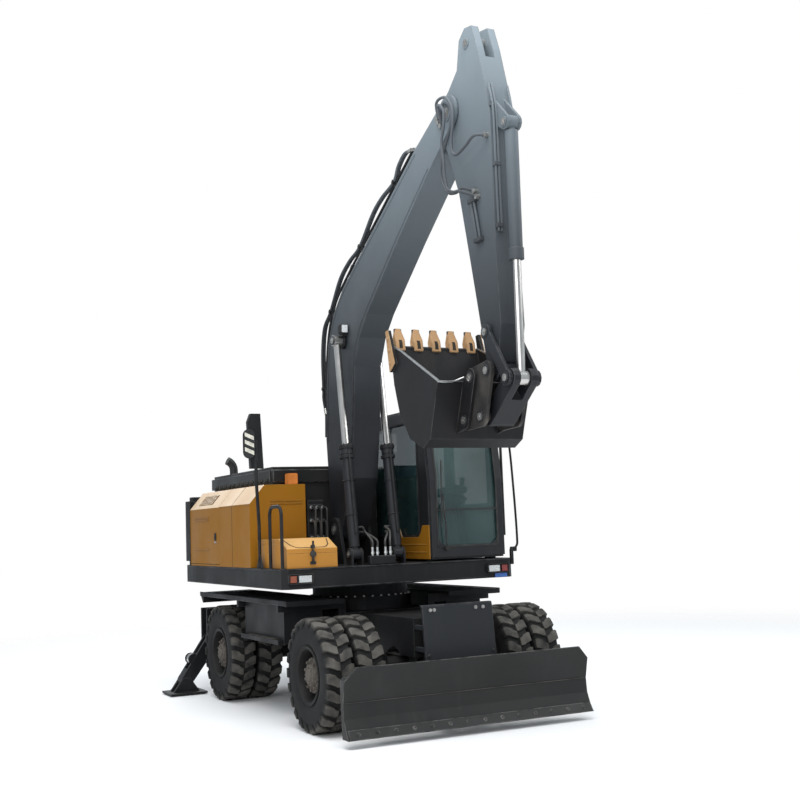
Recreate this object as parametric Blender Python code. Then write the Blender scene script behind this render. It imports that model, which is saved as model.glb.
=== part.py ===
"""Wheeled excavator with a front blade, rear outriggers, mono boom and bucket.

Metres, +Z up. The machine looks along -Y, and +X is its left, the cab's side.
Places along the machine count from the point midway between its axles.
"""
import math

import bmesh
import bpy
from mathutils import Matrix, Vector

for old in list(bpy.data.objects):
    bpy.data.objects.remove(old, do_unlink=True)

# Fits that many pieces share
SEAT = 0.0003
RUNNING = 0.006
OVERRUN = 0.02
BLEND = 0.004

# Wheels and axles
WHEELBASE = 2.70
TYRE_RADIUS = 0.53
TYRE_WIDTH = 0.27
TYRE_PITCH = 0.315
TWIN_WIDTH = 2.50
RIM_RADIUS = 0.254
RIM_WALL = 0.018
RIM_LIP = 0.02
HUB_RADIUS = 0.125
DISC_THICKNESS = 0.03
WHEEL_SIDES = 28
ROUND_SIDES = 20
SMALL_SIDES = 12

FRONT_AXLE_Y = -WHEELBASE / 2
REAR_AXLE_Y = WHEELBASE / 2
TYRE_OUTER_X = TWIN_WIDTH / 2
TYRE_INNER_X = TYRE_OUTER_X - TYRE_PITCH - TYRE_WIDTH
TWIN_CENTRE_X = (TYRE_OUTER_X + TYRE_INNER_X) / 2

# Steering knuckles and axle beams
KINGPIN_INSET = 0.08
KINGPIN_X = TYRE_INNER_X - KINGPIN_INSET
KINGPIN_RADIUS = 0.05
KNUCKLE_RADIUS = 0.16
AXLE_RADIUS = 0.11
AXLE_CASE_RADIUS = 0.20
AXLE_CASE_HALF = 0.20
YOKE_HALF = 0.09
YOKE_PLATE = 0.035

# Chassis
FRAME_HALF_WIDTH = 0.34
FRAME_MIDDLE_HALF = 0.50
FRAME_NOSE = 0.45
FRAME_TAIL = 0.63
FRAME_FRONT_Y = FRONT_AXLE_Y - FRAME_NOSE
FRAME_REAR_Y = REAR_AXLE_Y + FRAME_TAIL
FRAME_LOW_Z = 0.66
FRAME_TOP_Z = 1.02
FRONT_NARROW = 0.80
REAR_NARROW = 0.60
FRAME_MIDDLE_START_Y = FRONT_AXLE_Y + FRONT_NARROW
FRAME_MIDDLE_END_Y = REAR_AXLE_Y - REAR_NARROW
SLEW_Y = 0.15
SLEW_RADIUS = 0.52
SLEW_LOW_Z = 1.16
SLEW_TOP_Z = 1.30
SLEW_WALL = 0.07
PEDESTAL_HALF = 0.56

DECK_INNER_X = 0.60
DECK_OUTER_X = 1.22
DECK_TO_TYRE = 0.03
DECK_TAIL = 0.77
DECK_FRONT_Y = FRONT_AXLE_Y + TYRE_RADIUS + DECK_TO_TYRE
DECK_REAR_Y = REAR_AXLE_Y + DECK_TAIL
DECK_TOP_Z = 1.185
DECK_THICKNESS = 0.025
DECK_RIM = 0.05
DECK_HOOK = 0.12
BRACKET_THICKNESS = 0.05
BRACKET_HEIGHT = 0.09

BOX_INNER_X = 0.72
BOX_OUTER_X = 1.14
BOX_LOW_Z = 0.74
BOX_WALL = 0.03
STEP_DEPTH = 0.06
STEP_HEIGHT = 0.05

COVER_HALF_WIDTH = 0.37
COVER_REACH = 0.30
COVER_Y = FRAME_FRONT_Y - COVER_REACH
COVER_LOW_Z = 0.66
COVER_TOP_Z = 1.14
COVER_THICKNESS = 0.03
COVER_LEAN = 0.05
COVER_LUG_X = 0.31
COVER_LUG_HALF = 0.02
COVER_LUG_INSET = 0.08

SHAFT_RADIUS = 0.04
TRANSFER_HALF = 0.17
TRANSFER_LOW_Z = 0.42

# Dozer blade
BLADE_HALF_WIDTH = 1.265
BLADE_TOP_Z = 0.685
BLADE_LOW_Z = 0.075
BLADE_REACH = 0.51
BLADE_FACE_Y = FRAME_FRONT_Y - BLADE_REACH
BLADE_HOLLOW = 0.075
BLADE_THICKNESS = 0.028
BLADE_END = 0.03
BLADE_CHAMFER = 0.11
BLADE_PIVOT_SETBACK = 0.08
BLADE_PIVOT_Y = FRAME_FRONT_Y + BLADE_PIVOT_SETBACK
BLADE_PIVOT_Z = 0.56
BLADE_ARM_X = 0.27
BLADE_ARM_HALF = 0.035
BLADE_EYE_RADIUS = 0.07
BLADE_RAM_HEAD_REACH = 0.10
BLADE_RAM_FOOT_REACH = 0.20
BLADE_RAM_HEAD_Z = 0.95
BLADE_RAM_FOOT_Z = 0.37
BLADE_RAM_HEAD = (FRAME_FRONT_Y - BLADE_RAM_HEAD_REACH, BLADE_RAM_HEAD_Z)
BLADE_RAM_FOOT = (FRAME_FRONT_Y - BLADE_RAM_FOOT_REACH, BLADE_RAM_FOOT_Z)
BLADE_RAM_BARREL = 0.38
RIB_HALF_WIDTH = 0.95
RIB_DEPTH = 0.05
RIB_HEIGHT = 0.09

# Outriggers
LEG_SETBACK = 0.81
LEG_Y = REAR_AXLE_Y + LEG_SETBACK
LEG_HALF_Y = 0.09
LEG_SLOT_HALF_Y = 0.052
LEG_HINGE = (1.08, 0.62)
LEG_FOOT = (1.42, 0.15)
LEG_EYE_RADIUS = 0.085
LEG_BOSS_RADIUS = 0.05
LEG_FOOT_SHARE = 0.8
LEG_RAM_SHARES = (0.55, 0.12)
GUSSET_SHARE = 0.36
FOOT_LENGTH = 0.44
FOOT_DEPTH = 0.40
FOOT_THICKNESS = 0.022
FOOT_GAP = 0.012
LEG_RAM_HEAD = (0.50, 0.90)
LEG_RAM_BARREL = 0.52
BEAM_HALF_X = 1.17
BEAM_LOW_Z = 0.53
BEAM_TOP_Z = 0.99
BEAM_PLATE = 0.03

# Upper structure
UPPER_SHIFT_X = -0.03
UPPER_HALF_WIDTH = 1.30
UPPER_FRONT_Y = -1.02
UPPER_REAR_Y = 2.58
SKIRT_LOW_Z = 1.312
DECK_FLOOR_Z = 1.51
CORNER_CUT = 0.055
WEIGHT_FRONT_Y = 2.14
WEIGHT_TOP_Z = 2.33
WEIGHT_CORNER = 0.30

HOUSING_INNER_X = -0.70
HOUSING_FRONT_Y = -0.07
HOUSING_SHOULDER_Z = 2.17
HOUSING_TOP_Z = 2.37
HOUSING_SLOPE = 0.17
DOOR_FRONT_Y = 0.98
DOOR_THICKNESS = 0.05
DOOR_EDGE = 0.02

HOOD_TOP_Z = 2.57
HOOD_INSET = 0.28
HOOD_HALF_WIDTH = UPPER_HALF_WIDTH - HOOD_INSET
HOOD_FRONT_Y = 0.12
HOOD_REAR_Y = 2.26
HOOD_EDGE = 0.07
FIREWALL = 0.04
CAB_CLEARANCE = 0.06
ENGINE_SIZE = (0.95, 0.75, 0.70)
ENGINE_CENTRE_Y = 1.62
EXHAUST_RADIUS = 0.05

TOOLBOX_FRONT_Y = -0.98
TOOLBOX_REAR_Y = -0.13
TOOLBOX_RIGHT_X = -1.27
TOOLBOX_LEFT_X = -0.74
TOOLBOX_TOP_Z = 1.80
LID_THICKNESS = 0.05

# Cab
CAB_RIGHT_X = 0.30
CAB_LEFT_X = 1.20
CAB_FRONT_Y = -0.99
CAB_REAR_Y = 0.74
CAB_LOW_Z = 1.53
CAB_TOP_Z = 3.12
CAB_WALL = 0.05
CAB_FRONT_LEAN = 0.10
CAB_PILLAR = 0.09
CAB_SILL_Z = 1.66
CAB_LINTEL_Z = 2.98
SIDE_SILL_Z = 1.78
GLASS_THICKNESS = 0.008

# Boom, arm and bucket, in the plane of the boom
BOOM_X = -0.25
BOOM_HALF_WIDTH = 0.15
BOOM_FOOT = (-0.20, 1.87)
BOOM_TIP = (-2.95, 5.51)
ARM_END = (-3.49, 3.13)
ARM_TAIL = (-3.28, 6.03)
BOOM_RAM_X = 0.235
BOOM_RAM_FOOT = (-0.84, 1.62)
BOOM_RAM_HEAD = (-0.54, 3.85)
ARM_RAM_HEAD = (-0.62, 4.60)
RAM_RADIUS = 0.056
RAM_ROD_RADIUS = 0.036
BUCKET_RAM_HEAD = (-3.76, 5.17)
LINK_TOP = (-3.44, 3.46)
LINK_END = (-3.73, 3.04)
COUPLER_PIN = (-3.37, 2.76)
BUCKET_PIN_HIGH = (-3.27, 3.10)
BUCKET_PIN_LOW = (-3.14, 2.75)

# Small sizes of the chassis, wheels and blade
EAR_PLATE = 0.022
EAR_RADIUS = 0.065
EYE_HALF = 0.045
EYE_RADIUS = 0.06
GLAND_LENGTH = 0.09
GLAND_STEP = 0.008
NECK_SHARE = 0.85
SMALL_RAM_RADIUS = 0.042
SMALL_ROD_RADIUS = 0.025
NOSE_LENGTH = 0.06
NOSE_RADIUS = 0.075
YOKE_REACH = 0.13
YOKE_RISE = 0.11
DRUM_INSET = 0.06
DRUM_RADIUS = 0.17
BEAD_INSET = 0.03
SPACER_HEIGHT = 0.045
HUB_STEP = 0.015
HUB_END = TYRE_OUTER_X - 0.055
BLADE_END_DEPTH = 0.13
BLADE_RAM_STROKE = 0.16
LEG_RAM_STROKE = 0.16
BOOM_RAM_STROKE = 0.56
BOOM_RAM_BARREL = 1.12
ARM_RAM_STROKE = 1.02
ARM_RAM_BARREL = 1.75
BUCKET_RAM_STROKE = 0.84
BUCKET_RAM_BARREL = 1.15

# Small sizes of the upper structure
BRACKET_REACH = 0.34
BRACKET_FRONT_SHARE = 0.75
BRACKET_PLATE = 0.033
BOOM_EYE_RADIUS = 0.13
RAIL_RADIUS = 0.018
RAIL_INSET = 0.022
RAIL_TOP_Z = 2.12
RAIL_BEND = 0.09
RAIL_FRONT_Y = -0.95
RAIL_REAR_Y = -0.62
TAIL_RISE = 0.12
LAMP_RIGHT_X = -1.28
LAMP_LEFT_X = 1.19
LAMP_WIDTH = 0.25
LAMP_HEIGHT = 0.09
LAMP_DEPTH = 0.02
LAMP_LOW_Z = 1.365
WEIGHT_EDGE = 0.05
DOOR_INNER_X = -1.10
EXHAUST_INSET = 0.08
EXHAUST_BEND = 0.12
EXHAUST_Y = 1.60
TOOLBOX_LIP_Z = 1.70
TOOLBOX_SLOPE_Y = -0.76
MIRROR_Y = -0.30
POLE_KNEE_Z = 1.95
POLE_CRANK = 0.13
MIRROR_LOW_Z = 2.52
MIRROR_HEIGHT = 0.56
MIRROR_WIDTH = 0.16
MIRROR_DEPTH = 0.05

# Small sizes of the cab
CAB_KNEE_Z = 2.35
CAB_EDGE = 0.02
REAR_SILL_Z = 2.05
DOOR_HINGE_Y = 0.12
DOOR_LOW_Z = 1.62
DOOR_RAIL = 0.06
HINGE_RADIUS = 0.016
HINGE_HEIGHT = 0.05
HINGE_LEAF = 0.045
CAB_MOUNT_RADIUS = 0.06
HINGE_LEAF_SHARE = 0.7
GRIP_RADIUS = 0.015
GRIP_STUD_RADIUS = 0.0135
LEFT_RAIL_LOW_Z = 1.75
LEFT_RAIL_TOP_Z = 2.75
SEAT_FRONT_Y = -0.28
SEAT_REAR_Y = 0.30
SEAT_TOP_Z = 2.05
SEAT_BACK_TOP_Z = 2.75
SEAT_PAD = 0.14
SEAT_HALF_WIDTH = 0.25
COLUMN_SETBACK = 0.16
COLUMN_RADIUS = 0.035
COLUMN_FOOT_RADIUS = 0.0875
WHEEL_Z = 2.22
STEERING_RADIUS = 0.18

# Small sizes of the boom, arm and bucket
TIP_EYE_RADIUS = 0.16
TIP_SLOT_RADIUS = 0.35
BOOM_EAR_RADIUS = 0.0975
ARM_EAR_RADIUS = 0.091
ARM_HALF_WIDTH = 0.115
ARM_EYE_HALF = 0.122
LINK_EYE_RADIUS = 0.09
LINK_BODY_RADIUS = 0.081
LINK_PIN_RADIUS = 0.035
LINK_CLEARANCE = 0.006
LINK_PLATE = 0.03
IDLER_HALF_DEPTH = 0.05
IDLER_EYE_RADIUS = 0.068
COUPLER_PLATE = 0.03
COUPLER_EYE_RADIUS = 0.085
BUCKET_EAR = 0.028
BUCKET_EYE_RADIUS = 0.0765
BUCKET_HALF_WIDTH = 0.46
BUCKET_SIDE = 0.022
TOOTH_COUNT = 5
TOOTH_WIDTH = 0.07
TOOTH_LENGTH = 0.16
TOOTH_ROOT = 0.05
TOOTH_DEPTH = 0.07
TOOTH_TIP = 0.015
CUTTER_WIDTH = 0.11
CUTTER_PLATE = 0.025


# Paint and finish

def paint(name, colour, roughness, metallic=0.0):
    material = bpy.data.materials.new(name)
    material.use_nodes = True
    shader = material.node_tree.nodes["Principled BSDF"]
    shader.inputs["Base Color"].default_value = (*colour, 1.0)
    shader.inputs["Roughness"].default_value = roughness
    shader.inputs["Metallic"].default_value = metallic
    return material


FRAME_BLACK = ((0.025, 0.027, 0.030), 0.5)
BODY_YELLOW = ((0.62, 0.28, 0.035), 0.4)
TYRE_BLACK = ((0.022, 0.022, 0.022), 0.85)
RIM_GREY = ((0.05, 0.05, 0.05), 0.6)
CHROME = ((0.75, 0.76, 0.77), 0.12, 1.0)
GLASS_GREEN = ((0.10, 0.20, 0.19), 0.1)
SEAT_CLOTH = ((0.05, 0.05, 0.055), 0.9)
STEEL_WORN = ((0.09, 0.09, 0.09), 0.5, 0.6)


# Shapes

def mesh_of(shape):
    bmesh.ops.recalc_face_normals(shape, faces=shape.faces)
    mesh = bpy.data.meshes.new("shape")
    shape.to_mesh(mesh)
    shape.free()
    return mesh


def prism(outline, low, high, axis="X"):
    """A closed outline drawn in the two other axes, pushed from low to high along axis."""
    def point(a, b, along):
        return {"X": (along, a, b), "Y": (a, along, b), "Z": (a, b, along)}[axis]
    shape = bmesh.new()
    near = [shape.verts.new(point(a, b, low)) for a, b in outline]
    far = [shape.verts.new(point(a, b, high)) for a, b in outline]
    shape.faces.new(near)
    shape.faces.new(far)
    for i in range(len(outline)):
        j = (i + 1) % len(outline)
        shape.faces.new((near[i], near[j], far[j], far[i]))
    return mesh_of(shape)


def block(low, high):
    outline = [(low[0], low[1]), (high[0], low[1]), (high[0], high[1]), (low[0], high[1])]
    return prism(outline, low[2], high[2], "Z")


def bar(start, end, radius, sides=SMALL_SIDES):
    """A round bar between two points."""
    start = Vector(start)
    end = Vector(end)
    shape = bmesh.new()
    turn = (end - start).to_track_quat("Z", "Y").to_matrix().to_4x4()
    place = Matrix.Translation((start + end) / 2) @ turn
    bmesh.ops.create_cone(shape, cap_ends=True, segments=sides, radius1=radius, radius2=radius,
                          depth=(end - start).length, matrix=place)
    return mesh_of(shape)


def disc(x_low, x_high, centre, radius, sides=ROUND_SIDES):
    """A round boss or pin that lies along X, centred at (y, z)."""
    return bar((x_low, *centre), (x_high, *centre), radius, sides)


def turned(profile, centre, sides):
    """A closed profile of (x, radius) turned about an axis along X through (y, z)."""
    shape = bmesh.new()
    rings = []
    for i in range(sides):
        angle = math.tau * i / sides
        rings.append([shape.verts.new((x, centre[0] + r * math.cos(angle), centre[1] + r * math.sin(angle)))
                      for x, r in profile])
    for i in range(sides):
        near = rings[i]
        far = rings[(i + 1) % sides]
        for a in range(len(profile)):
            b = (a + 1) % len(profile)
            if profile[a][1] or profile[b][1]:
                shape.faces.new((near[a], near[b], far[b], far[a]))
    bmesh.ops.remove_doubles(shape, verts=shape.verts, dist=SEAT / 3)
    return mesh_of(shape)


def pipe(points, radius, sides=2):
    """A bent pipe along a list of points."""
    curve = bpy.data.curves.new("pipe", "CURVE")
    curve.dimensions = "3D"
    curve.bevel_depth = radius
    curve.bevel_resolution = sides
    curve.use_fill_caps = True
    spline = curve.splines.new("POLY")
    spline.points.add(len(points) - 1)
    for i, p in enumerate(points):
        spline.points[i].co = (*p, 1.0)
    thing = bpy.data.objects.new("pipe", curve)
    bpy.context.collection.objects.link(thing)
    mesh = bpy.data.meshes.new_from_object(thing.evaluated_get(bpy.context.evaluated_depsgraph_get()))
    bpy.data.objects.remove(thing)
    shape = bmesh.new()
    shape.from_mesh(mesh)
    bmesh.ops.remove_doubles(shape, verts=shape.verts, dist=SEAT)
    return mesh_of(shape)


def arc(centre, radius, start, end, steps):
    """Points on an arc in a plane, from start to end in degrees."""
    points = []
    for i in range(steps + 1):
        angle = math.radians(start + (end - start) * i / steps)
        points.append((centre[0] + radius * math.cos(angle), centre[1] + radius * math.sin(angle)))
    return points


def bore_radius(pin_radius, sides):
    """The bore in which a pin of as many sides turns freely."""
    return (pin_radius + SEAT) / math.cos(math.pi / sides)


def circle(centre, radius, sides=SMALL_SIDES):
    """The outline of a round boss."""
    return arc(centre, radius, 0, 360 - 360 / sides, sides - 1)


def boolean(base, tools, operation):
    """The base mesh with each tool joined to it or cut from it."""
    body = bpy.data.objects.new("body", base)
    bpy.context.collection.objects.link(body)
    things = []
    for tool in tools:
        thing = bpy.data.objects.new("tool", tool)
        bpy.context.collection.objects.link(thing)
        things.append(thing)
        step = body.modifiers.new("step", "BOOLEAN")
        step.operation = operation
        step.solver = "EXACT"
        step.object = thing
    result = bpy.data.meshes.new_from_object(body.evaluated_get(bpy.context.evaluated_depsgraph_get()))
    for thing in [body, *things]:
        bpy.data.objects.remove(thing)
    return result


def join(*meshes):
    return boolean(meshes[0], meshes[1:], "UNION")


def cut(base, *tools):
    return boolean(base, tools, "DIFFERENCE")


def rounded(mesh, width, segments=1, sharp_degrees=35):
    """The mesh with its sharp edges bevelled."""
    shape = bmesh.new()
    shape.from_mesh(mesh)
    bmesh.ops.remove_doubles(shape, verts=shape.verts, dist=SEAT / 3)
    edges = [e for e in shape.edges if len(e.link_faces) == 2
             and e.calc_face_angle(0) > math.radians(sharp_degrees)]
    bmesh.ops.bevel(shape, geom=edges, offset=width, segments=segments, affect="EDGES", clamp_overlap=True)
    return mesh_of(shape)


def capsule(first, second, radius, second_radius=None, steps=6):
    """The outline of a link plate round two pins, each (y, z)."""
    second_radius = second_radius or radius
    heading = math.degrees(math.atan2(second[1] - first[1], second[0] - first[0]))
    return (arc(first, radius, heading + 90, heading + 270, steps)
            + arc(second, second_radius, heading - 90, heading + 90, steps))


def between(first, second, shares):
    """Points given as shares of the way from first to second, and of that way to its left."""
    across = second[0] - first[0]
    up = second[1] - first[1]
    return [(first[0] + s * across - t * up, first[1] + s * up + t * across) for s, t in shares]


# The tree of moving bodies: each is an empty on its joint's axis

joints = {}


def body(name, parent, place):
    empty = bpy.data.objects.new(name, None)
    bpy.context.collection.objects.link(empty)
    joints[name] = Vector(place)
    if parent:
        empty.parent = bpy.data.objects[parent]
        empty.location = joints[name] - joints[parent]
    else:
        empty.location = joints[name]


def node(name, body_name, mesh, look):
    """A finished piece, drawn in the machine's frame and hung on its body."""
    mesh.transform(Matrix.Translation(-joints[body_name]))
    mesh.materials.clear()
    mesh.materials.append(paint(name, *look))
    mesh.shade_smooth()
    mesh.set_sharp_from_angle(angle=math.radians(30))
    mesh.name = name
    thing = bpy.data.objects.new(name, mesh)
    bpy.context.collection.objects.link(thing)
    thing.parent = bpy.data.objects[body_name]
    return thing


def point(x, place):
    return (x, place[0], place[1])


SIDES = (("right", -1), ("left", 1))

body("chassis", None, (0, 0, 0))
body("upper", "chassis", (0, SLEW_Y, SLEW_TOP_Z))
body("boom_body", "upper", point(BOOM_X, BOOM_FOOT))
body("arm_body", "boom_body", point(BOOM_X, BOOM_TIP))
body("bucket_body", "arm_body", point(BOOM_X, ARM_END))
body("blade_body", "chassis", (0, BLADE_PIVOT_Y, BLADE_PIVOT_Z))


# Chassis frame: a box beam, wider in the middle, with the slew ring and the outriggers' beam

def middle_beam(half, start, end, low, top):
    return block((-half, start, low), (half, end, top))


LEG_PLATE_Y = LEG_HALF_Y + RUNNING
BRACKET_TOP_Z = DECK_TOP_Z - DECK_THICKNESS - SEAT
bracket_places = (FRAME_MIDDLE_START_Y, FRAME_MIDDLE_END_Y - BRACKET_THICKNESS)

frame_parts = [
    middle_beam(FRAME_HALF_WIDTH, FRAME_FRONT_Y, FRAME_REAR_Y, FRAME_LOW_Z, FRAME_TOP_Z),
    middle_beam(FRAME_MIDDLE_HALF, FRAME_MIDDLE_START_Y - OVERRUN, FRAME_MIDDLE_END_Y + OVERRUN,
                FRAME_LOW_Z - BLEND, FRAME_TOP_Z + BLEND),
    bar((0, SLEW_Y, FRAME_TOP_Z - OVERRUN), (0, SLEW_Y, SLEW_LOW_Z), PEDESTAL_HALF, ROUND_SIDES * 2),
    bar((0, SLEW_Y, SLEW_LOW_Z - OVERRUN), (0, SLEW_Y, SLEW_TOP_Z), SLEW_RADIUS, ROUND_SIDES * 2),
    middle_beam(BEAM_HALF_X, LEG_Y - LEG_PLATE_Y - BEAM_PLATE, LEG_Y - LEG_PLATE_Y, BEAM_LOW_Z, BEAM_TOP_Z),
    middle_beam(BEAM_HALF_X, LEG_Y + LEG_PLATE_Y, LEG_Y + LEG_PLATE_Y + BEAM_PLATE, BEAM_LOW_Z, BEAM_TOP_Z),
    middle_beam(LEG_RAM_HEAD[0] / 2, FRAME_REAR_Y - OVERRUN, LEG_Y + LEG_PLATE_Y + OVERRUN,
                BEAM_LOW_Z + 2 * OVERRUN, BEAM_TOP_Z - OVERRUN),
]
# Bosses either side of each leg ram's head
for side, sign in SIDES:
    for low_y, high_y in ((LEG_Y - LEG_PLATE_Y - BLEND, LEG_Y - LEG_SLOT_HALF_Y),
                          (LEG_Y + LEG_SLOT_HALF_Y, LEG_Y + LEG_PLATE_Y + BLEND)):
        frame_parts.append(prism(circle((sign * LEG_RAM_HEAD[0], LEG_RAM_HEAD[1]), LEG_BOSS_RADIUS),
                                 low_y, high_y, "Y"))
for side, sign in SIDES:
    for y in bracket_places:
        arm_x = sorted((sign * (FRAME_MIDDLE_HALF - OVERRUN), sign * DECK_OUTER_X))
        post_x = sorted((sign * (FRAME_MIDDLE_HALF - OVERRUN),
                         sign * (FRAME_MIDDLE_HALF + BRACKET_THICKNESS)))
        frame_parts.append(block((arm_x[0], y, BRACKET_TOP_Z - BRACKET_HEIGHT),
                                 (arm_x[1], y + BRACKET_THICKNESS, BRACKET_TOP_Z)))
        frame_parts.append(block((post_x[0], y + BLEND, FRAME_TOP_Z - BRACKET_HEIGHT),
                                 (post_x[1], y + BRACKET_THICKNESS - BLEND, BRACKET_TOP_Z - BLEND)))

# Ears under the frame that hold the blade's arms, and ears on its nose for the blade's ram
for arm_x in (-BLADE_ARM_X, BLADE_ARM_X):
    for ear_side in (-1, 1):
        near_x = arm_x + ear_side * (BLADE_ARM_HALF + SEAT)
        far_x = near_x + ear_side * EAR_PLATE
        ear = capsule((BLADE_PIVOT_Y, FRAME_LOW_Z + OVERRUN), (BLADE_PIVOT_Y, BLADE_PIVOT_Z), BLADE_EYE_RADIUS)
        frame_parts.append(prism(ear, *sorted((near_x, far_x))))
for ear_side in (-1, 1):
    near_x = ear_side * (EYE_HALF + SEAT)
    ear = capsule((FRAME_FRONT_Y + OVERRUN, BLADE_RAM_HEAD_Z), BLADE_RAM_HEAD, EAR_RADIUS)
    frame_parts.append(prism(ear, *sorted((near_x, near_x + ear_side * EAR_PLATE))))

axle_arches = [bar((-FRAME_HALF_WIDTH * 2, y, TYRE_RADIUS), (FRAME_HALF_WIDTH * 2, y, TYRE_RADIUS),
                   AXLE_CASE_RADIUS + SEAT, ROUND_SIDES) for y in (FRONT_AXLE_Y, REAR_AXLE_Y)]
slew_bore = bar((0, SLEW_Y, SLEW_LOW_Z - OVERRUN), (0, SLEW_Y, SLEW_TOP_Z + OVERRUN),
                SLEW_RADIUS - SLEW_WALL, ROUND_SIDES * 2)
node("chassis_frame", "chassis", cut(join(*frame_parts), *axle_arches, slew_bore), FRAME_BLACK)


# Side decks over the wheels, each with its hooked rear flap, the box below it and the box's step

deck_section = [
    (DECK_FRONT_Y, DECK_TOP_Z - DECK_RIM),
    (DECK_FRONT_Y, DECK_TOP_Z),
    (DECK_REAR_Y, DECK_TOP_Z),
    (DECK_REAR_Y, DECK_TOP_Z - DECK_THICKNESS),
    (DECK_REAR_Y - DECK_HOOK + DECK_THICKNESS, DECK_TOP_Z - DECK_HOOK),
    (DECK_REAR_Y - DECK_HOOK, DECK_TOP_Z - DECK_HOOK),
    (DECK_REAR_Y - DECK_HOOK, DECK_TOP_Z - DECK_THICKNESS),
    (DECK_FRONT_Y + DECK_THICKNESS, DECK_TOP_Z - DECK_THICKNESS),
    (DECK_FRONT_Y + DECK_THICKNESS, DECK_TOP_Z - DECK_RIM),
]
box_start = bracket_places[0] + BRACKET_THICKNESS + SEAT
box_end = bracket_places[1] - SEAT
for side, sign in SIDES:
    deck = join(
        prism(deck_section, *sorted((sign * DECK_INNER_X, sign * DECK_OUTER_X))),
        block((min(sign * BOX_INNER_X, sign * BOX_OUTER_X), box_start, BOX_LOW_Z),
              (max(sign * BOX_INNER_X, sign * BOX_OUTER_X), box_end, DECK_TOP_Z - BLEND)),
        block((min(sign * (BOX_OUTER_X - OVERRUN), sign * (BOX_OUTER_X + STEP_DEPTH)),
               box_start + OVERRUN, BOX_LOW_Z + BLEND),
              (max(sign * (BOX_OUTER_X - OVERRUN), sign * (BOX_OUTER_X + STEP_DEPTH)),
               box_end - OVERRUN, BOX_LOW_Z + STEP_HEIGHT)),
    )
    node(f"side_deck_{side}", "chassis", deck, FRAME_BLACK)


# Axles: a round case with a beam each way, and a yoke at each end of the front one

def axle(y, half_length):
    nose_end = y - math.copysign(AXLE_CASE_RADIUS + NOSE_LENGTH, y)
    return [
        disc(-AXLE_CASE_HALF, AXLE_CASE_HALF, (y, TYRE_RADIUS), AXLE_CASE_RADIUS),
        disc(-half_length, half_length, (y, TYRE_RADIUS), AXLE_RADIUS),
        bar((0, y, TYRE_RADIUS), (0, nose_end, TYRE_RADIUS), NOSE_RADIUS),
    ]


front_parts = axle(FRONT_AXLE_Y, KINGPIN_X - YOKE_REACH + YOKE_PLATE / 2)
for side, sign in SIDES:
    back_x = sorted((sign * (KINGPIN_X - YOKE_REACH), sign * (KINGPIN_X - YOKE_REACH + YOKE_PLATE)))
    front_parts.append(block((back_x[0], FRONT_AXLE_Y - YOKE_HALF, TYRE_RADIUS - YOKE_RISE - YOKE_PLATE),
                             (back_x[1], FRONT_AXLE_Y + YOKE_HALF, TYRE_RADIUS + YOKE_RISE + YOKE_PLATE)))
    plate_x = sorted((sign * (KINGPIN_X - YOKE_REACH + BLEND), sign * (KINGPIN_X + KINGPIN_RADIUS)))
    for low in (TYRE_RADIUS - YOKE_RISE - YOKE_PLATE, TYRE_RADIUS + YOKE_RISE):
        front_parts.append(block((plate_x[0], FRONT_AXLE_Y - KINGPIN_RADIUS, low),
                                 (plate_x[1], FRONT_AXLE_Y + KINGPIN_RADIUS, low + YOKE_PLATE)))
node("front_axle", "chassis", join(*front_parts), FRAME_BLACK)

REAR_FLANGE_X = TYRE_INNER_X + DRUM_INSET - SEAT
rear_parts = axle(REAR_AXLE_Y, REAR_FLANGE_X)
for side, sign in SIDES:
    rear_parts.append(disc(*sorted((sign * (REAR_FLANGE_X - YOKE_PLATE), sign * REAR_FLANGE_X)),
                           (REAR_AXLE_Y, TYRE_RADIUS), KNUCKLE_RADIUS))
node("rear_axle", "chassis", join(*rear_parts), FRAME_BLACK)

shaft_reach = WHEELBASE / 2 - AXLE_CASE_RADIUS - NOSE_LENGTH - SEAT
node("drive_line", "chassis", join(
    middle_beam(TRANSFER_HALF, SLEW_Y - 2 * TRANSFER_HALF, SLEW_Y + TRANSFER_HALF,
                TRANSFER_LOW_Z, FRAME_LOW_Z - BLEND - SEAT),
    bar((0, -shaft_reach, TYRE_RADIUS), (0, shaft_reach, TYRE_RADIUS), SHAFT_RADIUS),
), STEEL_WORN)

# The leaning cover between the front wheels, on two lugs from the frame's nose
cover_section = [
    (COVER_Y, COVER_LOW_Z),
    (COVER_Y + COVER_THICKNESS, COVER_LOW_Z),
    (COVER_Y + COVER_THICKNESS + COVER_LEAN, COVER_TOP_Z),
    (COVER_Y + COVER_LEAN, COVER_TOP_Z),
]
cover_parts = [prism(cover_section, -COVER_HALF_WIDTH, COVER_HALF_WIDTH)]
for lug_x in (-COVER_LUG_X, COVER_LUG_X):
    for lug_z in (FRAME_LOW_Z + COVER_LUG_INSET, FRAME_TOP_Z - COVER_LUG_INSET):
        cover_parts.append(block((lug_x - COVER_LUG_HALF, COVER_Y + COVER_THICKNESS, lug_z - COVER_LUG_HALF),
                                 (lug_x + COVER_LUG_HALF, FRAME_FRONT_Y - SEAT, lug_z + COVER_LUG_HALF)))
node("front_cover", "chassis", join(*cover_parts), FRAME_BLACK)


# Wheels: two tyres with the spacer ring between them, on a pair of rims with one disc and hub

BEAD_HALF = TYRE_WIDTH / 2 - BEAD_INSET
tyre_shares = [
    (-0.5, 0.18), (-0.5, 0.68), (-0.39, 1.0), (0.39, 1.0), (0.5, 0.68), (0.5, 0.18),
]


def tyre_side(centre_x):
    depth = TYRE_RADIUS - RIM_RADIUS
    return [(centre_x + w * TYRE_WIDTH, RIM_RADIUS + h * depth) for w, h in tyre_shares]


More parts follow.
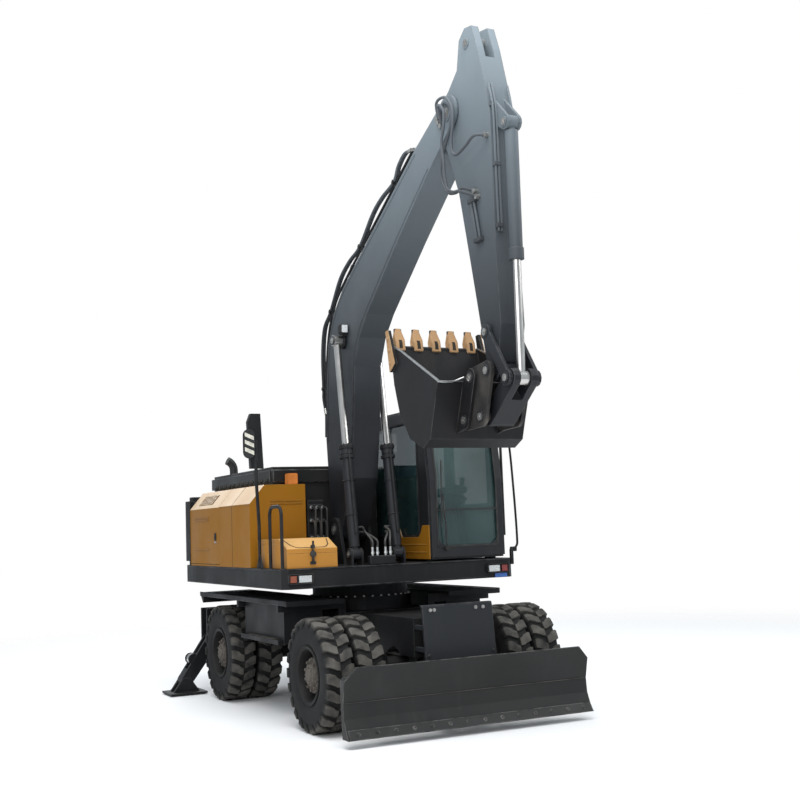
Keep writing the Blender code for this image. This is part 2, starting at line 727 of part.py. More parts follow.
INNER_TYRE_X = TYRE_INNER_X + TYRE_WIDTH / 2
OUTER_TYRE_X = TYRE_OUTER_X - TYRE_WIDTH / 2
SPACER_RADIUS = RIM_RADIUS + SPACER_HEIGHT
BEAD_RADIUS = RIM_RADIUS + RIM_LIP + SEAT
tyre_profile = [
    (INNER_TYRE_X - BEAD_HALF, RIM_RADIUS + SEAT),
    (INNER_TYRE_X - BEAD_HALF, BEAD_RADIUS),
    *tyre_side(INNER_TYRE_X),
    (INNER_TYRE_X + BEAD_HALF, SPACER_RADIUS),
    (OUTER_TYRE_X - BEAD_HALF, SPACER_RADIUS),
    *tyre_side(OUTER_TYRE_X),
    (OUTER_TYRE_X + BEAD_HALF, BEAD_RADIUS),
    (OUTER_TYRE_X + BEAD_HALF, RIM_RADIUS + SEAT),
]
RIM_START = INNER_TYRE_X - BEAD_HALF - SEAT
RIM_END = OUTER_TYRE_X + BEAD_HALF + SEAT
RIM_BORE = RIM_RADIUS - RIM_WALL
DRUM_START = TYRE_INNER_X + DRUM_INSET
rim_profile = [
    (DRUM_START, 0),
    (DRUM_START, DRUM_RADIUS),
    (TWIN_CENTRE_X - DISC_THICKNESS / 2, DRUM_RADIUS),
    (TWIN_CENTRE_X - DISC_THICKNESS / 2, RIM_BORE),
    (RIM_START - RIM_LIP, RIM_BORE),
    (RIM_START - RIM_LIP, RIM_RADIUS + RIM_LIP),
    (RIM_START, RIM_RADIUS + RIM_LIP),
    (RIM_START, RIM_RADIUS),
    (RIM_END, RIM_RADIUS),
    (RIM_END, RIM_RADIUS + RIM_LIP),
    (RIM_END + RIM_LIP, RIM_RADIUS + RIM_LIP),
    (RIM_END + RIM_LIP, RIM_BORE),
    (TWIN_CENTRE_X + DISC_THICKNESS / 2, RIM_BORE),
    (TWIN_CENTRE_X + DISC_THICKNESS / 2, HUB_RADIUS + HUB_STEP),
    (HUB_END - HUB_STEP, HUB_RADIUS),
    (HUB_END, HUB_RADIUS - HUB_STEP),
    (HUB_END, 0),
]

wheel_places = []
for side, sign in SIDES:
    knuckle = f"knuckle_{side}_body"
    body(knuckle, "chassis", (sign * KINGPIN_X, FRONT_AXLE_Y, TYRE_RADIUS))
    knuckle_parts = [
        bar((sign * KINGPIN_X, FRONT_AXLE_Y, TYRE_RADIUS - YOKE_RISE + SEAT),
            (sign * KINGPIN_X, FRONT_AXLE_Y, TYRE_RADIUS + YOKE_RISE - SEAT), KINGPIN_RADIUS),
        disc(*sorted((sign * KINGPIN_X, sign * (DRUM_START - SEAT))), (FRONT_AXLE_Y, TYRE_RADIUS),
             KINGPIN_RADIUS + BLEND),
        disc(*sorted((sign * (DRUM_START - SEAT - YOKE_PLATE), sign * (DRUM_START - SEAT))),
             (FRONT_AXLE_Y, TYRE_RADIUS), KNUCKLE_RADIUS),
    ]
    node(f"knuckle_{side}", knuckle, join(*knuckle_parts), FRAME_BLACK)
    wheel_places.append((f"front_{side}", knuckle, sign, FRONT_AXLE_Y))
    wheel_places.append((f"rear_{side}", "chassis", sign, REAR_AXLE_Y))
for name, carrier, sign, y in wheel_places:
    wheel = f"wheel_{name}_body"
    body(wheel, carrier, (sign * TWIN_CENTRE_X, y, TYRE_RADIUS))
    for piece, profile, look in (("tyres", tyre_profile, TYRE_BLACK), ("rims", rim_profile, RIM_GREY)):
        shape = turned([(sign * x, r) for x, r in profile], (y, TYRE_RADIUS), WHEEL_SIDES)
        node(f"{piece}_{name}", wheel, shape, look)


# Dozer blade: a hollow-faced plate between end plates, two ribs, two arms and the ram's ears

blade_shares = [(1.0, 0.0), (0.74, 0.55), (0.5, 1.0), (0.28, 0.85), (0.12, 0.3), (0.0, -0.35)]
blade_height = BLADE_TOP_Z - BLADE_LOW_Z
face = [(BLADE_FACE_Y + inward * BLADE_HOLLOW, BLADE_LOW_Z + up * blade_height)
        for up, inward in blade_shares]
blade_section = face + [(y + BLADE_THICKNESS, z) for y, z in reversed(face)]
end_section = face + [(face[-1][0] + BLADE_END_DEPTH, BLADE_LOW_Z),
                      (BLADE_FACE_Y + BLADE_END_DEPTH, BLADE_TOP_Z)]
blade_parts = [prism(blade_section, -BLADE_HALF_WIDTH, BLADE_HALF_WIDTH)]
for side, sign in SIDES:
    blade_parts.append(prism(end_section, *sorted((sign * (BLADE_HALF_WIDTH - BLADE_END),
                                                   sign * (BLADE_HALF_WIDTH + BLEND)))))
BLADE_BACK_Y = BLADE_FACE_Y + BLADE_HOLLOW + BLADE_THICKNESS
rib_shares = (0.30, 0.66)
for rib_share in rib_shares:
    rib_z = BLADE_LOW_Z + rib_share * blade_height
    blade_parts.append(middle_beam(RIB_HALF_WIDTH, BLADE_BACK_Y - BLADE_THICKNESS, BLADE_BACK_Y + RIB_DEPTH,
                                   rib_z - RIB_HEIGHT / 2, rib_z + RIB_HEIGHT / 2))
for arm_x in (-BLADE_ARM_X, BLADE_ARM_X):
    blade_parts.append(prism(capsule((BLADE_PIVOT_Y, BLADE_PIVOT_Z),
                                     (BLADE_BACK_Y + BLADE_EYE_RADIUS - BLADE_THICKNESS / 2,
                                      BLADE_LOW_Z + blade_height / 2), BLADE_EYE_RADIUS),
                             arm_x - BLADE_ARM_HALF, arm_x + BLADE_ARM_HALF))
for ear_side in (-1, 1):
    near_x = ear_side * (EYE_HALF + SEAT)
    ear_root = (BLADE_BACK_Y + EAR_RADIUS - BLADE_THICKNESS / 2, BLADE_RAM_FOOT[1])
    blade_parts.append(prism(capsule(ear_root, BLADE_RAM_FOOT, EAR_RADIUS),
                             *sorted((near_x, near_x + ear_side * EAR_PLATE))))
corners = []
for side, sign in SIDES:
    outline = [(sign * (BLADE_HALF_WIDTH - BLADE_CHAMFER), BLADE_TOP_Z + BLEND),
               (sign * (BLADE_HALF_WIDTH + OVERRUN), BLADE_TOP_Z - BLADE_CHAMFER - OVERRUN),
               (sign * (BLADE_HALF_WIDTH + OVERRUN), BLADE_TOP_Z + OVERRUN),
               (sign * (BLADE_HALF_WIDTH - BLADE_CHAMFER), BLADE_TOP_Z + OVERRUN)]
    corners.append(prism(outline, BLADE_FACE_Y - BLADE_END_DEPTH, BLADE_BACK_Y + BLADE_END_DEPTH, "Y"))
node("blade", "blade_body", cut(join(*blade_parts), *corners), FRAME_BLACK)


# Rams: a barrel with a blind bore and an eye at its head, and a rod with an eye at its end

def ram(name, carrier, x, head, end, barrel_length, stroke, radius=RAM_RADIUS, rod_radius=RAM_ROD_RADIUS,
        eye_half=None, plane="X"):
    """A ram in the plane of its pins, from its head pin to its rod's pin, each (y, z) or (x, z).

    The stroke is how far the rod can still go in from where it stands.
    """
    eye_half = eye_half or EYE_HALF
    aim = (Vector(end) - Vector(head)).normalized()
    length = (Vector(end) - Vector(head)).length

    def at(distance):
        a, b = Vector(head) + aim * distance
        return (x, a, b) if plane == "X" else (a, x, b)

    def eye(distance, eye_radius):
        middle = Vector(at(distance))
        across = Vector((eye_half, 0, 0)) if plane == "X" else Vector((0, eye_half, 0))
        return bar(middle - across, middle + across, eye_radius, ROUND_SIDES)

    body(f"{name}_barrel_body", carrier, at(0))
    barrel = join(bar(at(EAR_RADIUS + RUNNING), at(barrel_length), radius, ROUND_SIDES),
                  bar(at(0), at(EAR_RADIUS + radius), eye_half * NECK_SHARE, SMALL_SIDES),
                  bar(at(barrel_length - GLAND_LENGTH), at(barrel_length + BLEND), radius + GLAND_STEP,
                      ROUND_SIDES),
                  eye(0, EYE_RADIUS))
    bore = bar(at(radius + EYE_RADIUS), at(barrel_length + OVERRUN), rod_radius + SEAT, SMALL_SIDES)
    barrel = cut(barrel, bore)
    node(f"{name}_barrel", f"{name}_barrel_body", barrel, FRAME_BLACK)
    body(f"{name}_rod_body", f"{name}_barrel_body", at(0))
    rod_start = radius + EYE_RADIUS + stroke + RUNNING
    rod = join(bar(at(rod_start), at(length - EYE_RADIUS / 2), rod_radius, SMALL_SIDES),
               eye(length, EYE_RADIUS))
    node(f"{name}_rod", f"{name}_rod_body", rod, CHROME)


ram("blade_ram", "chassis", 0, BLADE_RAM_HEAD, BLADE_RAM_FOOT, BLADE_RAM_BARREL, BLADE_RAM_STROKE,
    radius=SMALL_RAM_RADIUS, rod_radius=SMALL_ROD_RADIUS)


# Outriggers: a channel-shaped leg with its foot, hinged in the rear beam, and its ram

for side, sign in SIDES:
    hinge = (sign * LEG_HINGE[0], LEG_HINGE[1])
    foot = (sign * LEG_FOOT[0], LEG_FOOT[1])
    pin = between(hinge, foot, [(LEG_RAM_SHARES[0], sign * LEG_RAM_SHARES[1])])[0]
    carrier = f"outrigger_{side}_body"
    body(carrier, "chassis", (hinge[0], LEG_Y, hinge[1]))
    leg_low = LEG_Y - LEG_HALF_Y
    leg_high = LEG_Y + LEG_HALF_Y
    foot_low = FOOT_GAP + FOOT_THICKNESS
    gusset = [(foot[0] - FOOT_LENGTH * GUSSET_SHARE, foot_low - BLEND),
              (foot[0] + FOOT_LENGTH * GUSSET_SHARE, foot_low - BLEND),
              (foot[0] + LEG_EYE_RADIUS / 2, foot[1] + LEG_EYE_RADIUS / 2),
              (foot[0] - LEG_EYE_RADIUS / 2, foot[1] + LEG_EYE_RADIUS / 2)]
    small_radius = LEG_EYE_RADIUS * LEG_FOOT_SHARE
    pin_root = between(hinge, foot, [(LEG_RAM_SHARES[0], 0)])[0]
    leg = join(
        prism(capsule(hinge, foot, LEG_EYE_RADIUS, small_radius), leg_low, leg_high, "Y"),
        prism(capsule(pin_root, pin, small_radius), leg_low + BLEND, leg_high - BLEND, "Y"),
        block((foot[0] - FOOT_LENGTH / 2, LEG_Y - FOOT_DEPTH / 2, FOOT_GAP),
              (foot[0] + FOOT_LENGTH / 2, LEG_Y + FOOT_DEPTH / 2, foot_low)),
        prism(gusset, leg_low - BLEND, leg_low + LEG_HALF_Y - LEG_SLOT_HALF_Y, "Y"),
        prism(gusset, leg_high - LEG_HALF_Y + LEG_SLOT_HALF_Y, leg_high + BLEND, "Y"),
        prism(circle(hinge, LEG_BOSS_RADIUS), LEG_Y - LEG_PLATE_Y + SEAT, LEG_Y + LEG_PLATE_Y - SEAT, "Y"),
    )
    slot_shares = [(-0.5, -0.4), (0.78, -0.4), (0.78, 0.4), (-0.5, 0.4)]
    slot = prism(between(hinge, foot, slot_shares), LEG_Y - LEG_SLOT_HALF_Y, LEG_Y + LEG_SLOT_HALF_Y, "Y")
    node(f"outrigger_{side}", carrier, cut(leg, slot), FRAME_BLACK)
    ram(f"outrigger_ram_{side}", "chassis", LEG_Y, (sign * LEG_RAM_HEAD[0], LEG_RAM_HEAD[1]), pin,
        LEG_RAM_BARREL, LEG_RAM_STROKE, radius=SMALL_RAM_RADIUS, rod_radius=SMALL_ROD_RADIUS,
        eye_half=LEG_SLOT_HALF_Y - SEAT, plane="Y")


# Upper frame: the deck with its skirts, the boom's brackets, the ram's ears and the grab rail

UPPER_RIGHT_X = UPPER_SHIFT_X - UPPER_HALF_WIDTH
UPPER_LEFT_X = UPPER_SHIFT_X + UPPER_HALF_WIDTH
plan = [
    (UPPER_RIGHT_X, UPPER_FRONT_Y + CORNER_CUT),
    (UPPER_RIGHT_X + CORNER_CUT, UPPER_FRONT_Y),
    (UPPER_LEFT_X - CORNER_CUT, UPPER_FRONT_Y),
    (UPPER_LEFT_X, UPPER_FRONT_Y + CORNER_CUT),
    *arc((UPPER_LEFT_X - WEIGHT_CORNER, UPPER_REAR_Y - WEIGHT_CORNER), WEIGHT_CORNER, 0, 90, 3),
    *arc((UPPER_RIGHT_X + WEIGHT_CORNER, UPPER_REAR_Y - WEIGHT_CORNER), WEIGHT_CORNER, 90, 180, 3),
]
upper_parts = [
    prism(plan, SKIRT_LOW_Z, DECK_FLOOR_Z, "Z"),
    bar((0, SLEW_Y, SLEW_TOP_Z + SEAT), (0, SLEW_Y, SKIRT_LOW_Z + OVERRUN), SLEW_RADIUS - SEAT,
        ROUND_SIDES * 2),
]
for ear_side in (-1, 1):
    near_x = BOOM_X + ear_side * (BOOM_HALF_WIDTH + SEAT)
    bracket = [
        (BOOM_FOOT[0] - BRACKET_REACH * BRACKET_FRONT_SHARE, DECK_FLOOR_Z - OVERRUN),
        (BOOM_FOOT[0] + BRACKET_REACH, DECK_FLOOR_Z - OVERRUN),
        *arc(BOOM_FOOT, BOOM_EYE_RADIUS, 20, 160, 6),
    ]
    upper_parts.append(prism(bracket, *sorted((near_x, near_x + ear_side * BRACKET_PLATE))))
    ram_x = BOOM_X + ear_side * BOOM_RAM_X
    for plate_side in (-1, 1):
        plate_x = ram_x + plate_side * (EYE_HALF + SEAT)
        ear = capsule((BOOM_RAM_FOOT[0], DECK_FLOOR_Z - OVERRUN), BOOM_RAM_FOOT, EAR_RADIUS)
        upper_parts.append(prism(ear, *sorted((plate_x, plate_x + plate_side * EAR_PLATE))))
rail_x = UPPER_RIGHT_X + RAIL_INSET
rail_top = RAIL_TOP_Z - RAIL_BEND
rail = [(rail_x, RAIL_FRONT_Y, DECK_FLOOR_Z - BLEND)]
rail += [(rail_x, y, z) for y, z in arc((RAIL_FRONT_Y + RAIL_BEND, rail_top), RAIL_BEND, 180, 90, 5)]
rail += [(rail_x, y, z) for y, z in arc((RAIL_REAR_Y - RAIL_BEND, rail_top), RAIL_BEND, 90, 0, 5)]
rail += [(rail_x, RAIL_REAR_Y, DECK_FLOOR_Z - BLEND)]
upper_parts.append(pipe(rail, RAIL_RADIUS))
# The lamps stand on the front corners of the skirt
for low_x in (LAMP_RIGHT_X, LAMP_LEFT_X - LAMP_WIDTH):
    upper_parts.append(block((low_x, UPPER_FRONT_Y - LAMP_DEPTH, LAMP_LOW_Z),
                             (low_x + LAMP_WIDTH, UPPER_FRONT_Y + OVERRUN, LAMP_LOW_Z + LAMP_HEIGHT)))
tail_wedge = prism([(UPPER_REAR_Y - TAIL_RISE * 2, SKIRT_LOW_Z - OVERRUN),
                    (UPPER_REAR_Y + OVERRUN, SKIRT_LOW_Z - OVERRUN),
                    (UPPER_REAR_Y + OVERRUN, SKIRT_LOW_Z + TAIL_RISE)],
                   UPPER_RIGHT_X - OVERRUN, UPPER_LEFT_X + OVERRUN)
node("upper_frame", "upper", cut(join(*upper_parts), tail_wedge), FRAME_BLACK)

# Counterweight across the tail, with rounded corners and a rounded top edge
weight_plan = [
    (UPPER_RIGHT_X, WEIGHT_FRONT_Y), (UPPER_LEFT_X, WEIGHT_FRONT_Y),
    *arc((UPPER_LEFT_X - WEIGHT_CORNER, UPPER_REAR_Y - WEIGHT_CORNER), WEIGHT_CORNER, 0, 90, 5),
    *arc((UPPER_RIGHT_X + WEIGHT_CORNER, UPPER_REAR_Y - WEIGHT_CORNER), WEIGHT_CORNER, 90, 180, 5),
]
weight = rounded(prism(weight_plan, DECK_FLOOR_Z + SEAT, WEIGHT_TOP_Z, "Z"), WEIGHT_EDGE, 2)
node("counterweight", "upper", weight, FRAME_BLACK)


# Housings either side of the engine, drawn across the machine, and the door in the right one

def housing_section(outer_x, inner_x, shrink=0.0):
    way = math.copysign(1, inner_x - outer_x)
    edge = outer_x + way * shrink
    return [
        (edge, DECK_FLOOR_Z + SEAT),
        (inner_x, DECK_FLOOR_Z + SEAT),
        (inner_x, HOUSING_TOP_Z - shrink),
        (edge + way * (HOUSING_SLOPE - shrink / 2), HOUSING_TOP_Z - shrink),
        (edge, HOUSING_SHOULDER_Z - shrink / 2),
    ]


DOOR_END_Y = WEIGHT_FRONT_Y - 2 * RUNNING
right_housing = prism(housing_section(UPPER_RIGHT_X, HOUSING_INNER_X), HOUSING_FRONT_Y,
                      WEIGHT_FRONT_Y - SEAT, "Y")
door_space = cut(
    prism([(UPPER_RIGHT_X - OVERRUN, DECK_FLOOR_Z + DOOR_EDGE), (DOOR_INNER_X, DECK_FLOOR_Z + DOOR_EDGE),
           (DOOR_INNER_X, HOUSING_TOP_Z + OVERRUN), (UPPER_RIGHT_X - OVERRUN, HOUSING_TOP_Z + OVERRUN)],
          DOOR_FRONT_Y, DOOR_END_Y, "Y"),
    prism(housing_section(UPPER_RIGHT_X, HOUSING_INNER_X, DOOR_THICKNESS), DOOR_FRONT_Y - OVERRUN,
          DOOR_END_Y + OVERRUN, "Y"))
node("housing_right", "upper", cut(right_housing, door_space), BODY_YELLOW)
body("engine_door_body", "upper", (UPPER_RIGHT_X, DOOR_END_Y - RUNNING, DECK_FLOOR_Z))
door_outer = prism(housing_section(UPPER_RIGHT_X, HOUSING_INNER_X), DOOR_FRONT_Y + RUNNING,
                   DOOR_END_Y - RUNNING, "Y")
door_inner = prism(housing_section(UPPER_RIGHT_X, HOUSING_INNER_X, DOOR_THICKNESS - SEAT),
                   DOOR_FRONT_Y - OVERRUN, DOOR_END_Y + OVERRUN, "Y")
door_trim = block((DOOR_INNER_X - SEAT, DOOR_FRONT_Y - OVERRUN, 0),
                  (0, DOOR_END_Y + OVERRUN, HOUSING_TOP_Z + OVERRUN))
door_foot = block((UPPER_RIGHT_X - OVERRUN, DOOR_FRONT_Y - OVERRUN, 0),
                  (0, DOOR_END_Y + OVERRUN, DECK_FLOOR_Z + DOOR_EDGE + RUNNING))
node("engine_door", "engine_door_body", cut(door_outer, door_inner, door_trim, door_foot), BODY_YELLOW)

LEFT_HOUSING_START = CAB_REAR_Y + CAB_CLEARANCE
node("housing_left", "upper", prism(housing_section(UPPER_LEFT_X, -HOUSING_INNER_X), LEFT_HOUSING_START,
                                    WEIGHT_FRONT_Y - SEAT, "Y"), BODY_YELLOW)

# Hood: the raised black cover over the engine, its front wall and the bent exhaust pipe
hood_low = HOUSING_TOP_Z + SEAT
hood_plan = [
    (-HOOD_HALF_WIDTH, HOOD_FRONT_Y), (CAB_RIGHT_X - CAB_CLEARANCE, HOOD_FRONT_Y),
    (CAB_RIGHT_X - CAB_CLEARANCE, LEFT_HOUSING_START), (HOOD_HALF_WIDTH, LEFT_HOUSING_START),
    (HOOD_HALF_WIDTH, HOOD_REAR_Y), (-HOOD_HALF_WIDTH, HOOD_REAR_Y),
]
pipe_x = -HOOD_HALF_WIDTH + EXHAUST_INSET
exhaust = [(pipe_x, EXHAUST_Y, HOOD_TOP_Z - EXHAUST_RADIUS)]
exhaust += [(x, EXHAUST_Y, z) for x, z in
            arc((pipe_x - EXHAUST_BEND, HOOD_TOP_Z + EXHAUST_RADIUS), EXHAUST_BEND, 0, 70, 5)]
hood = join(
    rounded(prism(hood_plan, hood_low, HOOD_TOP_Z, "Z"), HOOD_EDGE / 2, 2, 60),
    block((HOUSING_INNER_X + SEAT, HOOD_FRONT_Y + HOOD_EDGE / 2, DECK_FLOOR_Z + SEAT),
          (CAB_RIGHT_X - CAB_CLEARANCE, HOOD_FRONT_Y + HOOD_EDGE / 2 + FIREWALL, hood_low + HOOD_EDGE)),
    block((CAB_RIGHT_X - CAB_CLEARANCE - FIREWALL, HOOD_FRONT_Y + HOOD_EDGE / 2 + BLEND, DECK_FLOOR_Z + SEAT),
          (CAB_RIGHT_X - CAB_CLEARANCE - BLEND, LEFT_HOUSING_START + FIREWALL, hood_low + HOOD_EDGE)),
    block((CAB_RIGHT_X - CAB_CLEARANCE - FIREWALL + BLEND, LEFT_HOUSING_START + BLEND, DECK_FLOOR_Z + SEAT),
          (-HOUSING_INNER_X - SEAT, LEFT_HOUSING_START + FIREWALL, hood_low + HOOD_EDGE)),
    pipe(exhaust, EXHAUST_RADIUS, 3),
)
node("engine_hood", "upper", hood, FRAME_BLACK)
half = [s / 2 for s in ENGINE_SIZE]
engine_low = (-half[0], ENGINE_CENTRE_Y - half[1], DECK_FLOOR_Z + SEAT)
engine_high = (half[0], ENGINE_CENTRE_Y + half[1], DECK_FLOOR_Z + SEAT + ENGINE_SIZE[2])
node("engine_block", "upper", block(engine_low, engine_high), STEEL_WORN)


# Toolbox ahead of the right housing, open under a lid that follows its sloping front

box_section = [
    (TOOLBOX_FRONT_Y, DECK_FLOOR_Z + SEAT),
    (TOOLBOX_FRONT_Y, TOOLBOX_LIP_Z - LID_THICKNESS),
    (TOOLBOX_SLOPE_Y, TOOLBOX_TOP_Z - LID_THICKNESS),
    (TOOLBOX_REAR_Y, TOOLBOX_TOP_Z - LID_THICKNESS),
    (TOOLBOX_REAR_Y, DECK_FLOOR_Z + SEAT),
]
box_hollow = block((TOOLBOX_RIGHT_X + BOX_WALL, TOOLBOX_FRONT_Y + BOX_WALL, DECK_FLOOR_Z + BOX_WALL),
                   (TOOLBOX_LEFT_X - BOX_WALL, TOOLBOX_REAR_Y - BOX_WALL, TOOLBOX_TOP_Z + OVERRUN))
node("toolbox", "upper", cut(prism(box_section, TOOLBOX_RIGHT_X, TOOLBOX_LEFT_X), box_hollow), BODY_YELLOW)
lid_section = [
    (TOOLBOX_FRONT_Y, TOOLBOX_LIP_Z - LID_THICKNESS + SEAT), (TOOLBOX_FRONT_Y, TOOLBOX_LIP_Z),
    (TOOLBOX_SLOPE_Y, TOOLBOX_TOP_Z), (TOOLBOX_REAR_Y, TOOLBOX_TOP_Z),
    (TOOLBOX_REAR_Y, TOOLBOX_TOP_Z - LID_THICKNESS + SEAT),
    (TOOLBOX_SLOPE_Y, TOOLBOX_TOP_Z - LID_THICKNESS + SEAT),
]
body("toolbox_lid_body", "upper", ((TOOLBOX_RIGHT_X + TOOLBOX_LEFT_X) / 2, TOOLBOX_REAR_Y, TOOLBOX_TOP_Z))
node("toolbox_lid", "toolbox_lid_body", prism(lid_section, TOOLBOX_RIGHT_X, TOOLBOX_LEFT_X), BODY_YELLOW)

# Mirror on its cranked pole at the deck's right edge
pole_x = UPPER_RIGHT_X + RAIL_INSET
pole = [(pole_x, MIRROR_Y, DECK_FLOOR_Z + SEAT), (pole_x, MIRROR_Y, POLE_KNEE_Z),
        (pole_x - POLE_CRANK / 2, MIRROR_Y - POLE_CRANK, MIRROR_LOW_Z - POLE_CRANK),
        (pole_x - POLE_CRANK / 2, MIRROR_Y - POLE_CRANK, MIRROR_LOW_Z + MIRROR_HEIGHT / 2)]
mirror_x = pole_x - POLE_CRANK / 2
mirror_shares = [(-0.35, 0), (0.5, 0), (0.35, 1), (-0.3, 1), (-0.5, 0.85)]
mirror_outline = [(mirror_x + w * MIRROR_WIDTH, MIRROR_LOW_Z + h * MIRROR_HEIGHT) for w, h in mirror_shares]
gusset = [(MIRROR_Y - RAIL_BEND, DECK_FLOOR_Z + SEAT), (MIRROR_Y + RAIL_BEND, DECK_FLOOR_Z + SEAT),
          (MIRROR_Y, DECK_FLOOR_Z + 2 * RAIL_BEND)]
mirror_y = MIRROR_Y - POLE_CRANK
node("mirror_right", "upper", join(
    pipe(pole, RAIL_RADIUS),
    prism(gusset, pole_x - BLEND, pole_x + BLEND),
    prism(mirror_outline, mirror_y - RAIL_RADIUS / 2, mirror_y + MIRROR_DEPTH, "Y"),
), FRAME_BLACK)


# Cab: a hollow shell with its windows cut, panes set in them, and a door hinged at its rear edge

def cab_section(shrink):
    """The cab seen from its side, each wall moved inwards by shrink."""
    return [
        (CAB_FRONT_Y + shrink, CAB_LOW_Z + shrink),
        (CAB_REAR_Y - shrink, CAB_LOW_Z + shrink),
        (CAB_REAR_Y - shrink, CAB_TOP_Z - shrink),
        (CAB_FRONT_Y + CAB_FRONT_LEAN + shrink, CAB_TOP_Z - shrink),
        (CAB_FRONT_Y + shrink, CAB_KNEE_Z),
    ]


window_cuts = [
    # the windscreen, the right window, the rear window, the left rear window and the doorway
    ("front", (CAB_RIGHT_X + CAB_PILLAR, CAB_FRONT_Y - OVERRUN, CAB_SILL_Z),
     (CAB_LEFT_X - CAB_PILLAR, CAB_FRONT_Y + CAB_FRONT_LEAN + CAB_WALL + OVERRUN, CAB_LINTEL_Z)),
    ("right", (CAB_RIGHT_X - OVERRUN, CAB_FRONT_Y + CAB_FRONT_LEAN + CAB_PILLAR + CAB_WALL, SIDE_SILL_Z),
     (CAB_RIGHT_X + CAB_WALL + OVERRUN, CAB_REAR_Y - CAB_WALL - CAB_PILLAR, CAB_LINTEL_Z)),
    ("rear", (CAB_RIGHT_X + CAB_WALL + CAB_PILLAR, CAB_REAR_Y - CAB_WALL - OVERRUN, REAR_SILL_Z),
     (CAB_LEFT_X - CAB_WALL - CAB_PILLAR, CAB_REAR_Y + OVERRUN, CAB_LINTEL_Z)),
    ("left", (CAB_LEFT_X - CAB_WALL - OVERRUN, DOOR_HINGE_Y + CAB_PILLAR, SIDE_SILL_Z),
     (CAB_LEFT_X + OVERRUN, CAB_REAR_Y - CAB_WALL - CAB_PILLAR, CAB_LINTEL_Z)),
]
doorway_low = (CAB_LEFT_X - CAB_WALL - OVERRUN, CAB_FRONT_Y + CAB_FRONT_LEAN + CAB_PILLAR, DOOR_LOW_Z)
doorway_high = (CAB_LEFT_X + OVERRUN, DOOR_HINGE_Y, CAB_LINTEL_Z)
shell = rounded(prism(cab_section(0), CAB_RIGHT_X, CAB_LEFT_X), CAB_EDGE, 2)
hollow = prism(cab_section(CAB_WALL), CAB_RIGHT_X + CAB_WALL, CAB_LEFT_X - CAB_WALL)
left_rail_x = CAB_LEFT_X + RAIL_BEND / 2
left_rail_y = CAB_FRONT_Y + CAB_PILLAR
shell = cut(shell, hollow, block(doorway_low, doorway_high),
            *[block(low, high) for _, low, high in window_cuts])
left_rail = bar((left_rail_x, left_rail_y, LEFT_RAIL_LOW_Z), (left_rail_x, left_rail_y, LEFT_RAIL_TOP_Z),
                GRIP_RADIUS)
cab_parts = [shell, left_rail]
for z in (LEFT_RAIL_LOW_Z + RAIL_BEND / 2, LEFT_RAIL_TOP_Z - RAIL_BEND / 2):
    stud_start = (CAB_LEFT_X - BLEND, left_rail_y, z)
    cab_parts.append(bar(stud_start, (left_rail_x, left_rail_y, z), GRIP_STUD_RADIUS))
for x in (CAB_RIGHT_X + CAB_PILLAR, CAB_LEFT_X - CAB_PILLAR):
    for y in (CAB_FRONT_Y + 2 * CAB_PILLAR, CAB_REAR_Y - 2 * CAB_PILLAR):
        cab_parts.append(bar((x, y, DECK_FLOOR_Z + SEAT), (x, y, CAB_LOW_Z + BLEND), CAB_MOUNT_RADIUS))
hinge_x = CAB_LEFT_X + HINGE_RADIUS + SEAT
door_hinges = []
for z in (DOOR_LOW_Z + CAB_PILLAR * 2, CAB_LINTEL_Z - CAB_PILLAR * 2):
    for parts, way in ((cab_parts, 1), (door_hinges, -1)):
        near_z = z + (way + 1) * SEAT / 2
        leaf_z = sorted((near_z + way * BLEND, z + way * (HINGE_HEIGHT - BLEND)))
        leaf_y = sorted((DOOR_HINGE_Y + way * HINGE_RADIUS / 4, DOOR_HINGE_Y + way * HINGE_LEAF))
        parts.append(bar((hinge_x, DOOR_HINGE_Y, near_z), (hinge_x, DOOR_HINGE_Y, z + way * HINGE_HEIGHT),
                         HINGE_RADIUS))
        parts.append(block((CAB_LEFT_X - BLEND, leaf_y[0], leaf_z[0]),
                           (CAB_LEFT_X + HINGE_RADIUS * HINGE_LEAF_SHARE, leaf_y[1], leaf_z[1])))
node("cab_shell", "upper", join(*cab_parts), FRAME_BLACK)

for name, low, high in window_cuts:
    inset = (CAB_WALL - GLASS_THICKNESS) / 2
    if name == "front":
        pane_section = [(CAB_FRONT_Y + inset, low[2] + SEAT),
                        (CAB_FRONT_Y + inset + GLASS_THICKNESS, low[2] + SEAT),
                        (CAB_FRONT_Y + inset + GLASS_THICKNESS, CAB_KNEE_Z)]
        lean = CAB_FRONT_LEAN / (CAB_TOP_Z - CAB_KNEE_Z)
        top_y = CAB_FRONT_Y + inset + lean * (high[2] - SEAT - CAB_KNEE_Z)
        pane_section += [(top_y + GLASS_THICKNESS, high[2] - SEAT), (top_y, high[2] - SEAT),
                         (CAB_FRONT_Y + inset, CAB_KNEE_Z)]
        pane = prism(pane_section, low[0] + SEAT, high[0] - SEAT)
    elif name == "rear":
        pane = block((low[0] + SEAT, CAB_REAR_Y - inset - GLASS_THICKNESS, low[2] + SEAT),
                     (high[0] - SEAT, CAB_REAR_Y - inset, high[2] - SEAT))
    else:
        pane_x = CAB_RIGHT_X + inset if name == "right" else CAB_LEFT_X - inset - GLASS_THICKNESS
        pane = block((pane_x, low[1] + SEAT, low[2] + SEAT),
                     (pane_x + GLASS_THICKNESS, high[1] - SEAT, high[2] - SEAT))
    node(f"glass_{name}", "upper", pane, GLASS_GREEN)

